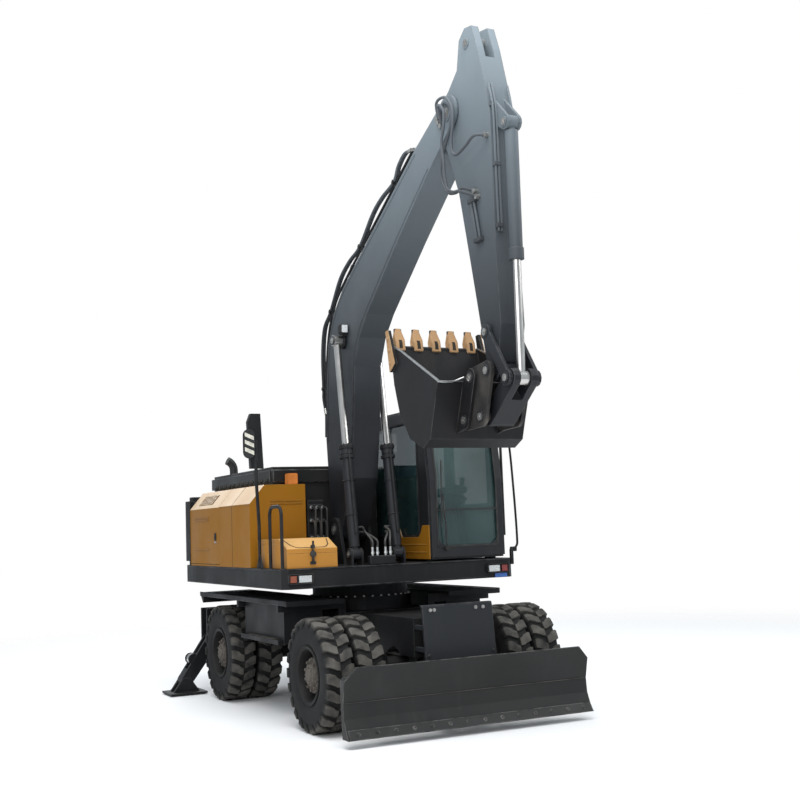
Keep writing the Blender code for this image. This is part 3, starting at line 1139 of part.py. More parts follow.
body("cab_door_body", "upper", (hinge_x, DOOR_HINGE_Y, DOOR_LOW_Z))
door_low = (CAB_LEFT_X - CAB_WALL, doorway_low[1] + RUNNING, DOOR_LOW_Z + RUNNING)
door_high = (CAB_LEFT_X, DOOR_HINGE_Y - RUNNING, CAB_LINTEL_Z - RUNNING)
pane_low = (door_low[0] - OVERRUN, door_low[1] + DOOR_RAIL, SIDE_SILL_Z + DOOR_RAIL)
pane_high = (door_high[0] + OVERRUN, door_high[1] - DOOR_RAIL, door_high[2] - DOOR_RAIL)
door = cut(block(door_low, door_high), block(pane_low, pane_high))
node("cab_door", "cab_door_body", join(door, *door_hinges), FRAME_BLACK)
node("glass_door", "cab_door_body", block(
    (CAB_LEFT_X - CAB_WALL / 2 - GLASS_THICKNESS / 2, pane_low[1] + SEAT, pane_low[2] + SEAT),
    (CAB_LEFT_X - CAB_WALL / 2 + GLASS_THICKNESS / 2, pane_high[1] - SEAT, pane_high[2] - SEAT)), GLASS_GREEN)

# Seat on its box, and the steering column with the monitor
seat_x = (CAB_RIGHT_X + CAB_LEFT_X) / 2
floor_z = CAB_LOW_Z + CAB_WALL + SEAT
seat_section = [
    (SEAT_FRONT_Y + SEAT_PAD, floor_z),
    (SEAT_REAR_Y - SEAT_PAD, floor_z),
    (SEAT_REAR_Y - SEAT_PAD, SEAT_TOP_Z - SEAT_PAD),
    (SEAT_REAR_Y + SEAT_PAD / 2, SEAT_TOP_Z - SEAT_PAD), (SEAT_REAR_Y + SEAT_PAD, SEAT_BACK_TOP_Z),
    (SEAT_REAR_Y - SEAT_PAD / 3, SEAT_BACK_TOP_Z), (SEAT_REAR_Y - SEAT_PAD, SEAT_TOP_Z),
    (SEAT_FRONT_Y, SEAT_TOP_Z),
    (SEAT_FRONT_Y, SEAT_TOP_Z - SEAT_PAD),
    (SEAT_FRONT_Y + SEAT_PAD, SEAT_TOP_Z - SEAT_PAD),
]
seat_block = prism(seat_section, seat_x - SEAT_HALF_WIDTH, seat_x + SEAT_HALF_WIDTH)
node("seat", "upper", rounded(seat_block, SEAT_PAD / 8), SEAT_CLOTH)
column_y = CAB_FRONT_Y + CAB_FRONT_LEAN + COLUMN_SETBACK
wheel_middle = Vector((seat_x, column_y + COLUMN_SETBACK / 2, WHEEL_Z))
console = join(
    bar((seat_x, column_y, floor_z), (seat_x, column_y, floor_z + COLUMN_RADIUS), COLUMN_FOOT_RADIUS),
    bar((seat_x, column_y, floor_z + COLUMN_RADIUS / 2), wheel_middle, COLUMN_RADIUS),
    bar(wheel_middle, wheel_middle + Vector((0, COLUMN_RADIUS / 4, COLUMN_RADIUS)), STEERING_RADIUS,
        ROUND_SIDES),
)
node("steering_column", "upper", console, FRAME_BLACK)


# Boom: a bent box beam with a boss at its foot, a fork at its tip and ears for the arm's ram

boom_shares = [
    (-0.01, -0.02), (0.03, -0.066), (0.069, -0.102), (0.142, -0.168), (0.235, -0.227), (0.34, -0.281),
    (0.412, -0.292), (0.494, -0.274), (0.731, -0.167), (0.885, -0.097), (1.0, -0.036),
    (1.0, 0.034), (0.976, 0.026), (0.881, -0.009), (0.704, -0.065), (0.504, -0.122), (0.439, -0.131),
    (0.372, -0.119), (0.268, -0.057), (0.148, 0.003), (0.0, 0.028),
]


def plates(outline, half_gap, thickness, middle=BOOM_X):
    """Two plates of one outline, each side of a gap about x = middle."""
    return [prism(outline, *sorted((middle + s * half_gap, middle + s * (half_gap + thickness))))
            for s in (-1, 1)]


low_x = BOOM_X - BOOM_HALF_WIDTH
high_x = BOOM_X + BOOM_HALF_WIDTH
ear_foot_share = (0.47, -0.25)
ear_foot = between(BOOM_FOOT, BOOM_TIP, [ear_foot_share])[0]
boom = join(
    prism(between(BOOM_FOOT, BOOM_TIP, boom_shares), low_x, high_x),
    disc(low_x, high_x, BOOM_FOOT, BOOM_EYE_RADIUS),
    disc(low_x, high_x, BOOM_TIP, TIP_EYE_RADIUS),
    *plates(capsule(ear_foot, ARM_RAM_HEAD, BOOM_EAR_RADIUS, EAR_RADIUS), EYE_HALF + SEAT, EAR_PLATE),
    disc(BOOM_X - BOOM_RAM_X + EYE_HALF + SEAT, BOOM_X + BOOM_RAM_X - EYE_HALF - SEAT, BOOM_RAM_HEAD,
         EYE_RADIUS),
)
tip_slot = disc(BOOM_X - ARM_EYE_HALF - SEAT, BOOM_X + ARM_EYE_HALF + SEAT, BOOM_TIP, TIP_SLOT_RADIUS,
                ROUND_SIDES * 2)
node("boom", "boom_body", cut(boom, tip_slot), FRAME_BLACK)
for side, sign in SIDES:
    ram(f"boom_ram_{side}", "upper", BOOM_X + sign * BOOM_RAM_X, BOOM_RAM_FOOT, BOOM_RAM_HEAD,
        BOOM_RAM_BARREL, BOOM_RAM_STROKE)


# Arm: a tapering box with a forked tail for its ram and ears for the bucket's ram

arm_shares = [
    (-0.122, -0.091), (-0.217, -0.137), (-0.236, -0.184), (-0.217, -0.23), (-0.122, -0.242), (0.018, -0.248),
    (0.145, -0.249), (0.664, -0.131), (0.866, -0.093), (0.982, -0.04),
    (1.0, 0.03), (0.859, 0.031), (0.573, 0.029), (0.313, 0.029), (0.05, 0.074), (-0.051, 0.06),
]
arm_low = BOOM_X - ARM_HALF_WIDTH
arm_high = BOOM_X + ARM_HALF_WIDTH
head_foot_share = (0.11, -0.22)
head_foot = between(BOOM_TIP, ARM_END, [head_foot_share])[0]
arm = join(
    prism(between(BOOM_TIP, ARM_END, arm_shares), arm_low, arm_high),
    disc(BOOM_X - ARM_EYE_HALF, BOOM_X + ARM_EYE_HALF, BOOM_TIP, TIP_EYE_RADIUS - OVERRUN),
    disc(arm_low, arm_high, ARM_END, LINK_EYE_RADIUS),
    *plates(capsule(head_foot, BUCKET_RAM_HEAD, ARM_EAR_RADIUS, EAR_RADIUS), EYE_HALF + SEAT, EAR_PLATE),
)
tail_shares = [(-0.085, 0.1), (-0.3, 0.1), (-0.3, -0.35), (-0.085, -0.35)]
tail_slot = prism(between(BOOM_TIP, ARM_END, tail_shares), BOOM_X - EYE_HALF - SEAT, BOOM_X + EYE_HALF + SEAT)
link_bore = disc(arm_low - OVERRUN, arm_high + OVERRUN, LINK_TOP, bore_radius(LINK_PIN_RADIUS, ROUND_SIDES))
node("arm", "arm_body", cut(arm, tail_slot, link_bore), FRAME_BLACK)
ram("arm_ram", "boom_body", BOOM_X, ARM_RAM_HEAD, ARM_TAIL, ARM_RAM_BARREL, ARM_RAM_STROKE)
ram("bucket_ram", "arm_body", BOOM_X, BUCKET_RAM_HEAD, LINK_END, BUCKET_RAM_BARREL, BUCKET_RAM_STROKE)


# Linkage: the idler's two plates on their pin, the link to the coupler, the coupler and the bucket

body("idler_body", "arm_body", point(BOOM_X, LINK_TOP))
idler_gap = ARM_HALF_WIDTH + LINK_CLEARANCE
idler = join(*plates(capsule(LINK_TOP, LINK_END, IDLER_HALF_DEPTH), idler_gap, LINK_PLATE),
             *plates(circle(LINK_TOP, IDLER_EYE_RADIUS), idler_gap, LINK_PLATE),
             *plates(circle(LINK_END, IDLER_EYE_RADIUS), idler_gap, LINK_PLATE),
             disc(BOOM_X - idler_gap - BLEND, BOOM_X + idler_gap + BLEND, LINK_TOP, LINK_PIN_RADIUS))
node("idler_link", "idler_body", idler, FRAME_BLACK)

body("bucket_link_body", "bucket_body", point(BOOM_X, COUPLER_PIN))
link_half = idler_gap - LINK_CLEARANCE
link_solid = prism(capsule(COUPLER_PIN, LINK_END, LINK_BODY_RADIUS), BOOM_X - link_half, BOOM_X + link_half)
slot_shares = [(0.62, -0.5), (1.4, -0.5), (1.4, 0.5), (0.62, 0.5)]
eye_space = prism(between(COUPLER_PIN, LINK_END, slot_shares), BOOM_X - EYE_HALF - LINK_CLEARANCE,
                  BOOM_X + EYE_HALF + LINK_CLEARANCE)
node("bucket_link", "bucket_link_body", cut(link_solid, eye_space), FRAME_BLACK)

coupler_gap = idler_gap + LINK_PLATE + LINK_CLEARANCE
coupler_outline = [
    *arc(ARM_END, COUPLER_EYE_RADIUS, 100, 200, 4),
    *arc(COUPLER_PIN, COUPLER_EYE_RADIUS, 200, 280, 4),
    *arc(BUCKET_PIN_LOW, COUPLER_EYE_RADIUS, -80, 15, 4),
    *arc(BUCKET_PIN_HIGH, COUPLER_EYE_RADIUS, 15, 100, 4),
]
coupler_ear = coupler_gap + COUPLER_PLATE
coupler_parts = plates(coupler_outline, coupler_gap, COUPLER_PLATE)
for place in (ARM_END, COUPLER_PIN):
    coupler_parts += plates(circle(place, IDLER_HALF_DEPTH), ARM_HALF_WIDTH + SEAT,
                            coupler_gap - ARM_HALF_WIDTH + BLEND)
for place in (BUCKET_PIN_HIGH, BUCKET_PIN_LOW):
    coupler_parts.append(disc(BOOM_X - coupler_ear - BUCKET_EAR, BOOM_X + coupler_ear + BUCKET_EAR,
                              place, LINK_PIN_RADIUS, SMALL_SIDES))
node("coupler", "bucket_body", join(*coupler_parts), STEEL_WORN)

skin_shares = [
    (0.169, 0.27), (1.084, 0.27), (1.507, 0.26), (1.798, 0.532), (1.78, 1.253), (1.345, 1.929),
    (0.751, 2.407), (-0.122, 2.902), (-0.101, 2.266),
]
bucket_outline = between(BUCKET_PIN_HIGH, BUCKET_PIN_LOW, skin_shares)
inner_shares = [
    (-0.3, 0.35), (0.25, 0.35), (1.09, 0.35), (1.42, 0.35), (1.66, 0.60), (1.65, 1.20), (1.25, 1.84),
    (0.70, 2.28), (-0.05, 2.78), (-0.4, 2.9),
]
bucket_inner = between(BUCKET_PIN_HIGH, BUCKET_PIN_LOW, inner_shares)
bucket_low = BOOM_X - BUCKET_HALF_WIDTH
bucket_high = BOOM_X + BUCKET_HALF_WIDTH
bucket = cut(prism(bucket_outline, bucket_low, bucket_high),
             prism(bucket_inner, bucket_low + BUCKET_SIDE, bucket_high - BUCKET_SIDE))
ear_shares = [(1.4, 0.30), (0.2, 0.30)]
ear_outline = (arc(BUCKET_PIN_HIGH, BUCKET_EYE_RADIUS, 90, 190, 4)
               + arc(BUCKET_PIN_LOW, BUCKET_EYE_RADIUS, 190, 280, 4)
               + between(BUCKET_PIN_HIGH, BUCKET_PIN_LOW, ear_shares))
lip = bucket_outline[7]
lip_way = (Vector(lip) - Vector(bucket_outline[6])).normalized()
lip_side = Vector((-lip_way[1], lip_way[0]))
teeth = []
for i in range(TOOTH_COUNT):
    tooth_x = bucket_low + BUCKET_HALF_WIDTH * 2 * (i + 0.5) / TOOTH_COUNT
    root = Vector(lip) - lip_way * TOOTH_ROOT
    tip = Vector(lip) + lip_way * TOOTH_LENGTH
    section = [tuple(root - lip_side * TOOTH_DEPTH / 2), tuple(root + lip_side * TOOTH_DEPTH / 2),
               tuple(tip + lip_side * TOOTH_TIP / 2), tuple(tip - lip_side * TOOTH_TIP / 2)]
    teeth.append(prism(section, tooth_x - TOOTH_WIDTH / 2, tooth_x + TOOTH_WIDTH / 2))
# Side cutters, along the lip in shares of a tooth's length and out from it in shares of their width
cutter_shares = [(-1.6, -0.036), (0.8, -0.036), (0.8, 0.4), (-1.3, 1.0)]
cutter_section = [tuple(Vector(lip) + lip_way * TOOTH_LENGTH * along + lip_side * CUTTER_WIDTH * out)
                  for along, out in cutter_shares]
cutters = []
for s in (-1, 1):
    side_x = BOOM_X + s * BUCKET_HALF_WIDTH
    cutters.append(prism(cutter_section, *sorted((side_x - s * BLEND, side_x + s * CUTTER_PLATE))))
bucket = join(bucket, *plates(ear_outline, coupler_ear + SEAT, BUCKET_EAR), *teeth, *cutters)
pin_bores = [disc(bucket_low, bucket_high, place, LINK_PIN_RADIUS + SEAT, SMALL_SIDES)
             for place in (BUCKET_PIN_HIGH, BUCKET_PIN_LOW)]
node("bucket", "bucket_body", cut(bucket, *pin_bores), FRAME_BLACK)

# The machine's frame has its origin on the ground, under the middle of its box
bpy.context.view_layer.update()
corners = [thing.matrix_world @ Vector(c) for thing in bpy.data.objects if thing.type == "MESH"
           for c in thing.bound_box]
ends = [min(c.y for c in corners), max(c.y for c in corners)]
bpy.data.objects["chassis"].location.y -= sum(ends) / 2
bpy.context.view_layer.update()
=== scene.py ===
import math

import bmesh
import bpy
from mathutils import Matrix, Vector


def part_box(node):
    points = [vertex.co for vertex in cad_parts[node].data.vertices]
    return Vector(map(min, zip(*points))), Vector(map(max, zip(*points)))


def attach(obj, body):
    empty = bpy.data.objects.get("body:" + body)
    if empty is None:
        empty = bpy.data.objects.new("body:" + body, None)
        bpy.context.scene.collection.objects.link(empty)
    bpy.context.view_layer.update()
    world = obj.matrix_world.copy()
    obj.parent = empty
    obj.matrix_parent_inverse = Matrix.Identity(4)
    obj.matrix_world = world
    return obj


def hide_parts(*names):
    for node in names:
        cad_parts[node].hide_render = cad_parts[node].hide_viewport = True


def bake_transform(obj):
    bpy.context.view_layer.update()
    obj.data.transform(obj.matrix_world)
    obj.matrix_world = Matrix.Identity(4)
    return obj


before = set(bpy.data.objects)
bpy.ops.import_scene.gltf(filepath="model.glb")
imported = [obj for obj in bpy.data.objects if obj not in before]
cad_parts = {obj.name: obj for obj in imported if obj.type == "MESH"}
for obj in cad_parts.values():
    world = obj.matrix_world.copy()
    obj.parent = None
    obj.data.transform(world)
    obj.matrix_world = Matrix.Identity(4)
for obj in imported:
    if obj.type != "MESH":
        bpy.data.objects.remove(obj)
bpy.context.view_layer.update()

# Studio
# A pale floor that fades out round the machine, a white surround, and broad soft lamps.
# The camera stands low in front of the machine's right side, as the photographer did.

front_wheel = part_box("rims_front_left")
rear_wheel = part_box("rims_rear_left")
MIDDLE_Y = (front_wheel[0][1] + front_wheel[1][1] + rear_wheel[0][1] + rear_wheel[1][1]) / 4

CAMERA_PLACE = Vector((-5.293, -11.628 + MIDDLE_Y, 1.874))
CAMERA_TURN = math.radians(26.497)
CAMERA_TILT = math.radians(6.262)
CAMERA_ROLL = math.radians(-2.116)
FOCAL_LENGTH = 52.137
SENSOR_WIDTH = 36.0
FLOOR_RADIUS = 14.0
FLOOR_FADE = 7.0
LAMP_AIM = Vector((0, 0, 2.2))


def add_thing(name, data):
    """An object of this data, in the scene."""
    thing = bpy.data.objects.new(name, data)
    bpy.context.collection.objects.link(thing)
    return thing


def new_node(tree, kind, inputs=None, **settings):
    """A node with its settings, and its inputs set to a value or linked to an output."""
    node = tree.nodes.new(kind)
    for name, value in settings.items():
        setattr(node, name, value)
    for socket, value in (inputs or {}).items():
        if isinstance(value, bpy.types.NodeSocket):
            tree.links.new(value, node.inputs[socket])
        else:
            node.inputs[socket].default_value = value
    return node


def new_material(name, colour, roughness, metallic=0.0, gloss=0.5):
    """A material with its shader set, ready for more nodes."""
    material = bpy.data.materials.new(name)
    material.use_nodes = True
    shader = material.node_tree.nodes["Principled BSDF"]
    for socket, value in (("Base Color", (*colour, 1)), ("Roughness", roughness), ("Metallic", metallic),
                          ("Specular IOR Level", gloss)):
        shader.inputs[socket].default_value = value
    return material, material.node_tree, shader


def own_place(tree):
    """Where a point is in its piece's own coordinates."""
    return new_node(tree, "ShaderNodeTexCoord").outputs["Object"]


ahead = Vector((math.sin(CAMERA_TURN) * math.cos(CAMERA_TILT),
                math.cos(CAMERA_TURN) * math.cos(CAMERA_TILT), math.sin(CAMERA_TILT)))
level_right = Vector((math.cos(CAMERA_TURN), -math.sin(CAMERA_TURN), 0))
level_up = level_right.cross(ahead)
camera_right = level_right * math.cos(CAMERA_ROLL) + level_up * math.sin(CAMERA_ROLL)
camera_up = level_up * math.cos(CAMERA_ROLL) - level_right * math.sin(CAMERA_ROLL)
camera_data = bpy.data.cameras.new("camera")
camera_data.lens = FOCAL_LENGTH
camera_data.sensor_width = SENSOR_WIDTH
camera = add_thing("camera", camera_data)
camera.matrix_world = (Matrix.Translation(CAMERA_PLACE)
                       @ Matrix((camera_right, camera_up, -ahead)).transposed().to_4x4())
bpy.context.scene.camera = camera
bpy.context.scene.view_settings.view_transform = "Standard"

floor_shape = bmesh.new()
bmesh.ops.create_circle(floor_shape, cap_ends=True, segments=96, radius=FLOOR_RADIUS)
floor_mesh = bpy.data.meshes.new("floor")
floor_shape.to_mesh(floor_mesh)
floor_paint, tree, shader = new_material("pale_floor", (0.88, 0.88, 0.88), 0.9)
distance = new_node(tree, "ShaderNodeVectorMath", {0: own_place(tree)}, operation="LENGTH")
fade = new_node(tree, "ShaderNodeMapRange",
                {"Value": distance.outputs["Value"], "From Min": FLOOR_FADE, "From Max": FLOOR_RADIUS,
                 "To Min": 1, "To Max": 0}, interpolation_type="SMOOTHSTEP")
tree.links.new(fade.outputs["Result"], shader.inputs["Alpha"])
floor_mesh.materials.append(floor_paint)
add_thing("floor", floor_mesh)

world = bpy.data.worlds.new("sky")
bpy.context.scene.world = world
world.use_nodes = True
tree = world.node_tree
tree.nodes.clear()
light_path = new_node(tree, "ShaderNodeLightPath").outputs
seen = new_node(tree, "ShaderNodeMath",
                {0: light_path["Is Camera Ray"], 1: light_path["Is Transmission Ray"]}, operation="MAXIMUM")
sky_light = new_node(tree, "ShaderNodeBackground", {"Color": (0.86, 0.93, 1.0, 1), "Strength": 0.62})
sky_seen = new_node(tree, "ShaderNodeBackground", {"Color": (1, 1, 1, 1), "Strength": 1.0})
sky_mix = new_node(tree, "ShaderNodeMixShader",
                   {0: seen.outputs[0], 1: sky_light.outputs[0], 2: sky_seen.outputs[0]})
new_node(tree, "ShaderNodeOutputWorld", {"Surface": sky_mix.outputs[0]})

for name, place, width, watts in (("sky_lamp", (-3.0, -4.0, 13.0), 9.0, 1500),
                                  ("front_lamp", (-9.0, -12.0, 6.5), 6.0, 620),
                                  ("side_lamp", (8.0, -5.0, 8.0), 5.0, 380),
                                  ("back_lamp", (2.0, 12.0, 9.0), 7.0, 520)):
    lamp_data = bpy.data.lights.new(name, "AREA")
    lamp_data.size = width
    lamp_data.energy = watts
    lamp = add_thing(name, lamp_data)
    lamp.location = place
    lamp.rotation_mode = "QUATERNION"
    lamp.rotation_quaternion = (Vector(place) - LAMP_AIM).to_track_quat("Z", "Y")


# Chassis frame, axles and side decks
# Welded steel plate in satin charcoal paint, dusty on what faces up and scuffed along its edges.
# The slew ring sits on the middle of the frame, in a ring of hexagon bolts.

# Paint may take a painted haze that pales it from the lower of these heights to the upper, and a painted
# highlight on slopes that face up.
PAINTED_HAZE_HEIGHTS = (3.0, 6.1)
PAINTED_HAZE_POWER = 1.5
PAINTED_HIGHLIGHT_SHARE = 0.7
PAINTED_HIGHLIGHT_SLOPE = (0.25, 0.6)
PAINT_GRAIN = (240.0, 0.25, 0.0006)
EDGE_FACING = (0.985, 0.86)
SMOOTH_DEGREES = 32
MERGE_DISTANCE = 0.00005


def spread(tree, value, low, high, start=0.0, end=1.0):
    """A value brought from the range low to high onto start to end."""
    inputs = {"Value": value, "From Min": low, "From Max": high, "To Min": start, "To Max": end}
    return new_node(tree, "ShaderNodeMapRange", inputs).outputs["Result"]


def noise(tree, scale, low=0.3, high=0.7, stretch=(1, 1, 1), detail=4.0):
    """Cloudy noise on the piece's own coordinates, spread from 0 at low to 1 at high."""
    mapping = new_node(tree, "ShaderNodeMapping", {"Vector": own_place(tree), "Scale": stretch})
    texture = new_node(tree, "ShaderNodeTexNoise",
                       {"Vector": mapping.outputs["Vector"], "Scale": scale, "Detail": detail})
    return spread(tree, texture.outputs["Fac"], low, high)


def combine(tree, operation, first, second):
    """One operation on two values, each a number or an output."""
    return new_node(tree, "ShaderNodeMath", {0: first, 1: second}, operation=operation).outputs[0]


def blend_colour(tree, share, first, second):
    """Two colours mixed by share, each a colour or an output."""
    first, second = [(*value, 1) if isinstance(value, tuple) else value for value in (first, second)]
    mix = new_node(tree, "ShaderNodeMix", {"Factor": share, 6: first, 7: second}, data_type="RGBA")
    return mix.outputs[2]


def soft_edges(tree, radius):
    """The surface's normal as if its edges were rounded, and how near an edge a point is."""
    soft = new_node(tree, "ShaderNodeBevel", {"Radius": radius}, samples=4).outputs["Normal"]
    flat = new_node(tree, "ShaderNodeNewGeometry").outputs["Normal"]
    dot = new_node(tree, "ShaderNodeVectorMath", {0: soft, 1: flat}, operation="DOT_PRODUCT")
    return soft, spread(tree, dot.outputs["Value"], *EDGE_FACING)


def bumped(tree, shader, height, strength, depth, normal=None):
    """Raises the surface by a height, on top of the given normal."""
    inputs = {"Strength": strength, "Distance": depth, "Height": height}
    if normal is not None:
        inputs["Normal"] = normal
    bump = new_node(tree, "ShaderNodeBump", inputs)
    tree.links.new(bump.outputs["Normal"], shader.inputs["Normal"])


def painted(name, colour, worn, dust, roughness, dust_share=0.2, edge=0.008, edge_share=0.5, gloss=0.2,
            painted_haze=None, painted_highlight=None):
    """Paint on steel: cloudy dust and a worn edge. It may pale with height by a painted haze, and take a
    painted highlight on upward slopes.
    """
    material, tree, shader = new_material(name, colour, roughness, gloss=gloss)
    normal, near_edge = soft_edges(tree, edge)
    facing = new_node(tree, "ShaderNodeNewGeometry").outputs["Normal"]
    upward = new_node(tree, "ShaderNodeSeparateXYZ", {0: facing}).outputs["Z"]
    clouds = noise(tree, 1.7, 0.38, 0.72, detail=6.0)
    streaks = noise(tree, 3.0, 0.45, 0.75, stretch=(3.0, 3.0, 0.5))
    cover = combine(tree, "MULTIPLY", combine(tree, "MAXIMUM", clouds, streaks),
                    spread(tree, upward, -0.2, 1.0, 0.35, 1.0))
    cover = combine(tree, "MULTIPLY", cover, dust_share)
    scuffs = combine(tree, "MULTIPLY", near_edge, noise(tree, 9.0, 0.35, 0.6))
    scuffs = combine(tree, "MULTIPLY", scuffs, edge_share)
    tone = colour
    # painted haze: the paint turns paler with height, standing in for the veil of a bright sky
    if painted_haze:
        height = new_node(tree, "ShaderNodeSeparateXYZ", {0: own_place(tree)}).outputs["Z"]
        height = combine(tree, "POWER", spread(tree, height, *PAINTED_HAZE_HEIGHTS), PAINTED_HAZE_POWER)
        tone = blend_colour(tree, height, colour, painted_haze)
    # painted highlight: faces that slope upwards turn towards a paler tone, as if lit from above
    if painted_highlight:
        tone = blend_colour(tree, spread(tree, upward, *PAINTED_HIGHLIGHT_SLOPE, 0.0, PAINTED_HIGHLIGHT_SHARE), tone, painted_highlight)
    tone = blend_colour(tree, cover, tone, dust)
    tree.links.new(blend_colour(tree, scuffs, tone, worn), shader.inputs["Base Color"])
    tree.links.new(spread(tree, clouds, 0, 1, roughness, min(roughness + 0.25, 1)),
                   shader.inputs["Roughness"])
    scale, strength, depth = PAINT_GRAIN
    bumped(tree, shader, noise(tree, scale, detail=2.0), strength, depth, normal)
    return material


def mottled(name, colour, roughness, clouds, shades, grain=None, metallic=0.0, gloss=0.5, edge=None,
            more=None):
    """A material clouded between two shades. Its grain is a noise's scale, strength, depth and stretch."""
    material, tree, shader = new_material(name, colour, roughness, metallic, gloss)
    tree.links.new(blend_colour(tree, noise(tree, *clouds), *shades), shader.inputs["Base Color"])
    if grain:
        scale, strength, depth, *shape = grain
        normal = soft_edges(tree, edge)[0] if edge else None
        bumped(tree, shader, noise(tree, scale, 0.3, 0.7, *shape), strength, depth, normal)
    for socket, value in (more or {}).items():
        shader.inputs[socket].default_value = value
    return material


def dress(material, *nodes):
    """Gives CAD nodes a finish."""
    for node in nodes:
        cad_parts[node].material_slots[0].material = material


CHARCOAL = (0.008, 0.0085, 0.010)
CHARCOAL_WORN = (0.12, 0.12, 0.12)
ROAD_DUST = (0.085, 0.078, 0.066)
charcoal = painted("charcoal_paint", CHARCOAL, CHARCOAL_WORN, ROAD_DUST, 0.42)
dress(charcoal, "chassis_frame", "side_deck_right", "side_deck_left", "front_axle", "rear_axle",
      "knuckle_right", "knuckle_left")
worn_steel = mottled("worn_dark_steel", (0.06, 0.06, 0.06), 0.5, (6.0,),
                     ((0.03, 0.03, 0.032), (0.10, 0.09, 0.08)), (80.0, 0.3, 0.001), 0.7, edge=0.004)
dress(worn_steel, "drive_line", "engine_block", "coupler")


def mesh_of(shape):
    """A mesh from a bmesh whose faces all point outwards."""
    bmesh.ops.recalc_face_normals(shape, faces=shape.faces)
    mesh = bpy.data.meshes.new("shape")
    shape.to_mesh(mesh)
    shape.free()
    return mesh


def joined(meshes):
    """One mesh of several, as they stand."""
    shape = bmesh.new()
    for mesh in meshes:
        shape.from_mesh(mesh)
    mesh = bpy.data.meshes.new("joined")
    shape.to_mesh(mesh)
    shape.free()
    return mesh


def bevelled(mesh, width, segments=2, sharp_degrees=30):
    """The mesh with its sharp edges rounded."""
    shape = bmesh.new()
    shape.from_mesh(mesh)
    edges = [e for e in shape.edges if len(e.link_faces) == 2
             and e.calc_face_angle(0) > math.radians(sharp_degrees)]
    bmesh.ops.bevel(shape, geom=edges, offset=width, segments=segments, affect="EDGES", clamp_overlap=True)
    return mesh_of(shape)


def loft(rows):
    """A closed solid through rows of points, with a face over the first row and over the last."""
    shape = bmesh.new()
    rings = [[shape.verts.new(point) for point in row] for row in rows]
    shape.faces.new(rings[0])
    shape.faces.new(rings[-1])
    for near, far in zip(rings, rings[1:]):
        for i in range(len(near)):
            j = (i + 1) % len(near)
            shape.faces.new((near[i], near[j], far[j], far[i]))
    return mesh_of(shape)


def prism(outline, low, high, axis="X"):
    """A closed outline in the two other axes, pushed from low to high along axis."""
    def point(a, b, along):
        return {"X": (along, a, b), "Y": (a, along, b), "Z": (a, b, along)}[axis]
    return loft([[point(a, b, along) for a, b in outline] for along in (low, high)])


def block(low, high, edge=0.0):
    """A box between two corners, with rounded edges where edge is given."""
    outline = [(low[0], low[1]), (high[0], low[1]), (high[0], high[1]), (low[0], high[1])]
    mesh = prism(outline, low[2], high[2], "Z")
    return bevelled(mesh, edge) if edge else mesh


def boxes(*rows):
    """Several boxes in one mesh, each given as for block."""
    return joined([block(*row) for row in rows])


def round_bar(start, end, radius, sides=24, end_radius=None):
    """A round bar or cone between two points."""
    start = Vector(start)
    end = Vector(end)
    shape = bmesh.new()
    turn = (end - start).to_track_quat("Z", "Y").to_matrix().to_4x4()
    bmesh.ops.create_cone(shape, cap_ends=True, segments=sides, radius1=radius,
                          radius2=radius if end_radius is None else end_radius,
                          depth=(end - start).length, matrix=Matrix.Translation((start + end) / 2) @ turn)
    return mesh_of(shape)


def piece(name, mesh, material, body, smooth=True):
    """A finished piece, drawn from the point midway between the axles. A piece given no body is attached to
    none.
    """
    mesh.transform(Matrix.Translation((0, MIDDLE_Y, 0)))
    mesh.materials.clear()
    mesh.materials.append(material)
    for face in mesh.polygons:
        face.material_index = 0
    if smooth:
        mesh.shade_smooth()
        mesh.set_sharp_from_angle(angle=math.radians(SMOOTH_DEGREES))
    mesh.name = name
    thing = add_thing(name, mesh)
    if body:
        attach(thing, body)
    return thing


def repeat_tree():
    """Copies the mesh it is given, each copy stepped and turned on from the last."""
    group = bpy.data.node_groups.new("Repeat", "GeometryNodeTree")
    sockets = {}
    for label, kind in (("Geometry", "Geometry"), ("Count", "Int"), ("Step", "Vector"), ("Turn", "Vector"),
                        ("Finish", "Material")):
        socket = group.interface.new_socket(label, in_out="INPUT", socket_type=f"NodeSocket{kind}")
        sockets[label] = socket.identifier
    group.interface.new_socket("Geometry", in_out="OUTPUT", socket_type="NodeSocketGeometry")
    given = new_node(group, "NodeGroupInput").outputs
    wrap = new_node(group, "GeometryNodeGeometryToInstance", {0: given["Geometry"]})
    copy = new_node(group, "GeometryNodeDuplicateElements",
                    {"Geometry": wrap.outputs[0], "Amount": given["Count"]}, domain="INSTANCE").outputs
    step, turn = [new_node(group, "ShaderNodeVectorMath", {0: given[label], "Scale": copy["Duplicate Index"]},
                           operation="SCALE").outputs["Vector"] for label in ("Step", "Turn")]
    move = new_node(group, "GeometryNodeTranslateInstances",
                    {"Instances": copy["Geometry"], "Translation": step, "Local Space": False})
    spin = new_node(group, "GeometryNodeRotateInstances",
                    {"Instances": move.outputs["Instances"], "Rotation": turn, "Local Space": False})
    real = new_node(group, "GeometryNodeRealizeInstances", {0: spin.outputs["Instances"]})
    finish = new_node(group, "GeometryNodeSetMaterial",
                      {"Geometry": real.outputs[0], "Material": given["Finish"]})
    new_node(group, "NodeGroupOutput", {0: finish.outputs[0]})
    return group, sockets


REPEAT, REPEAT_INPUTS = repeat_tree()


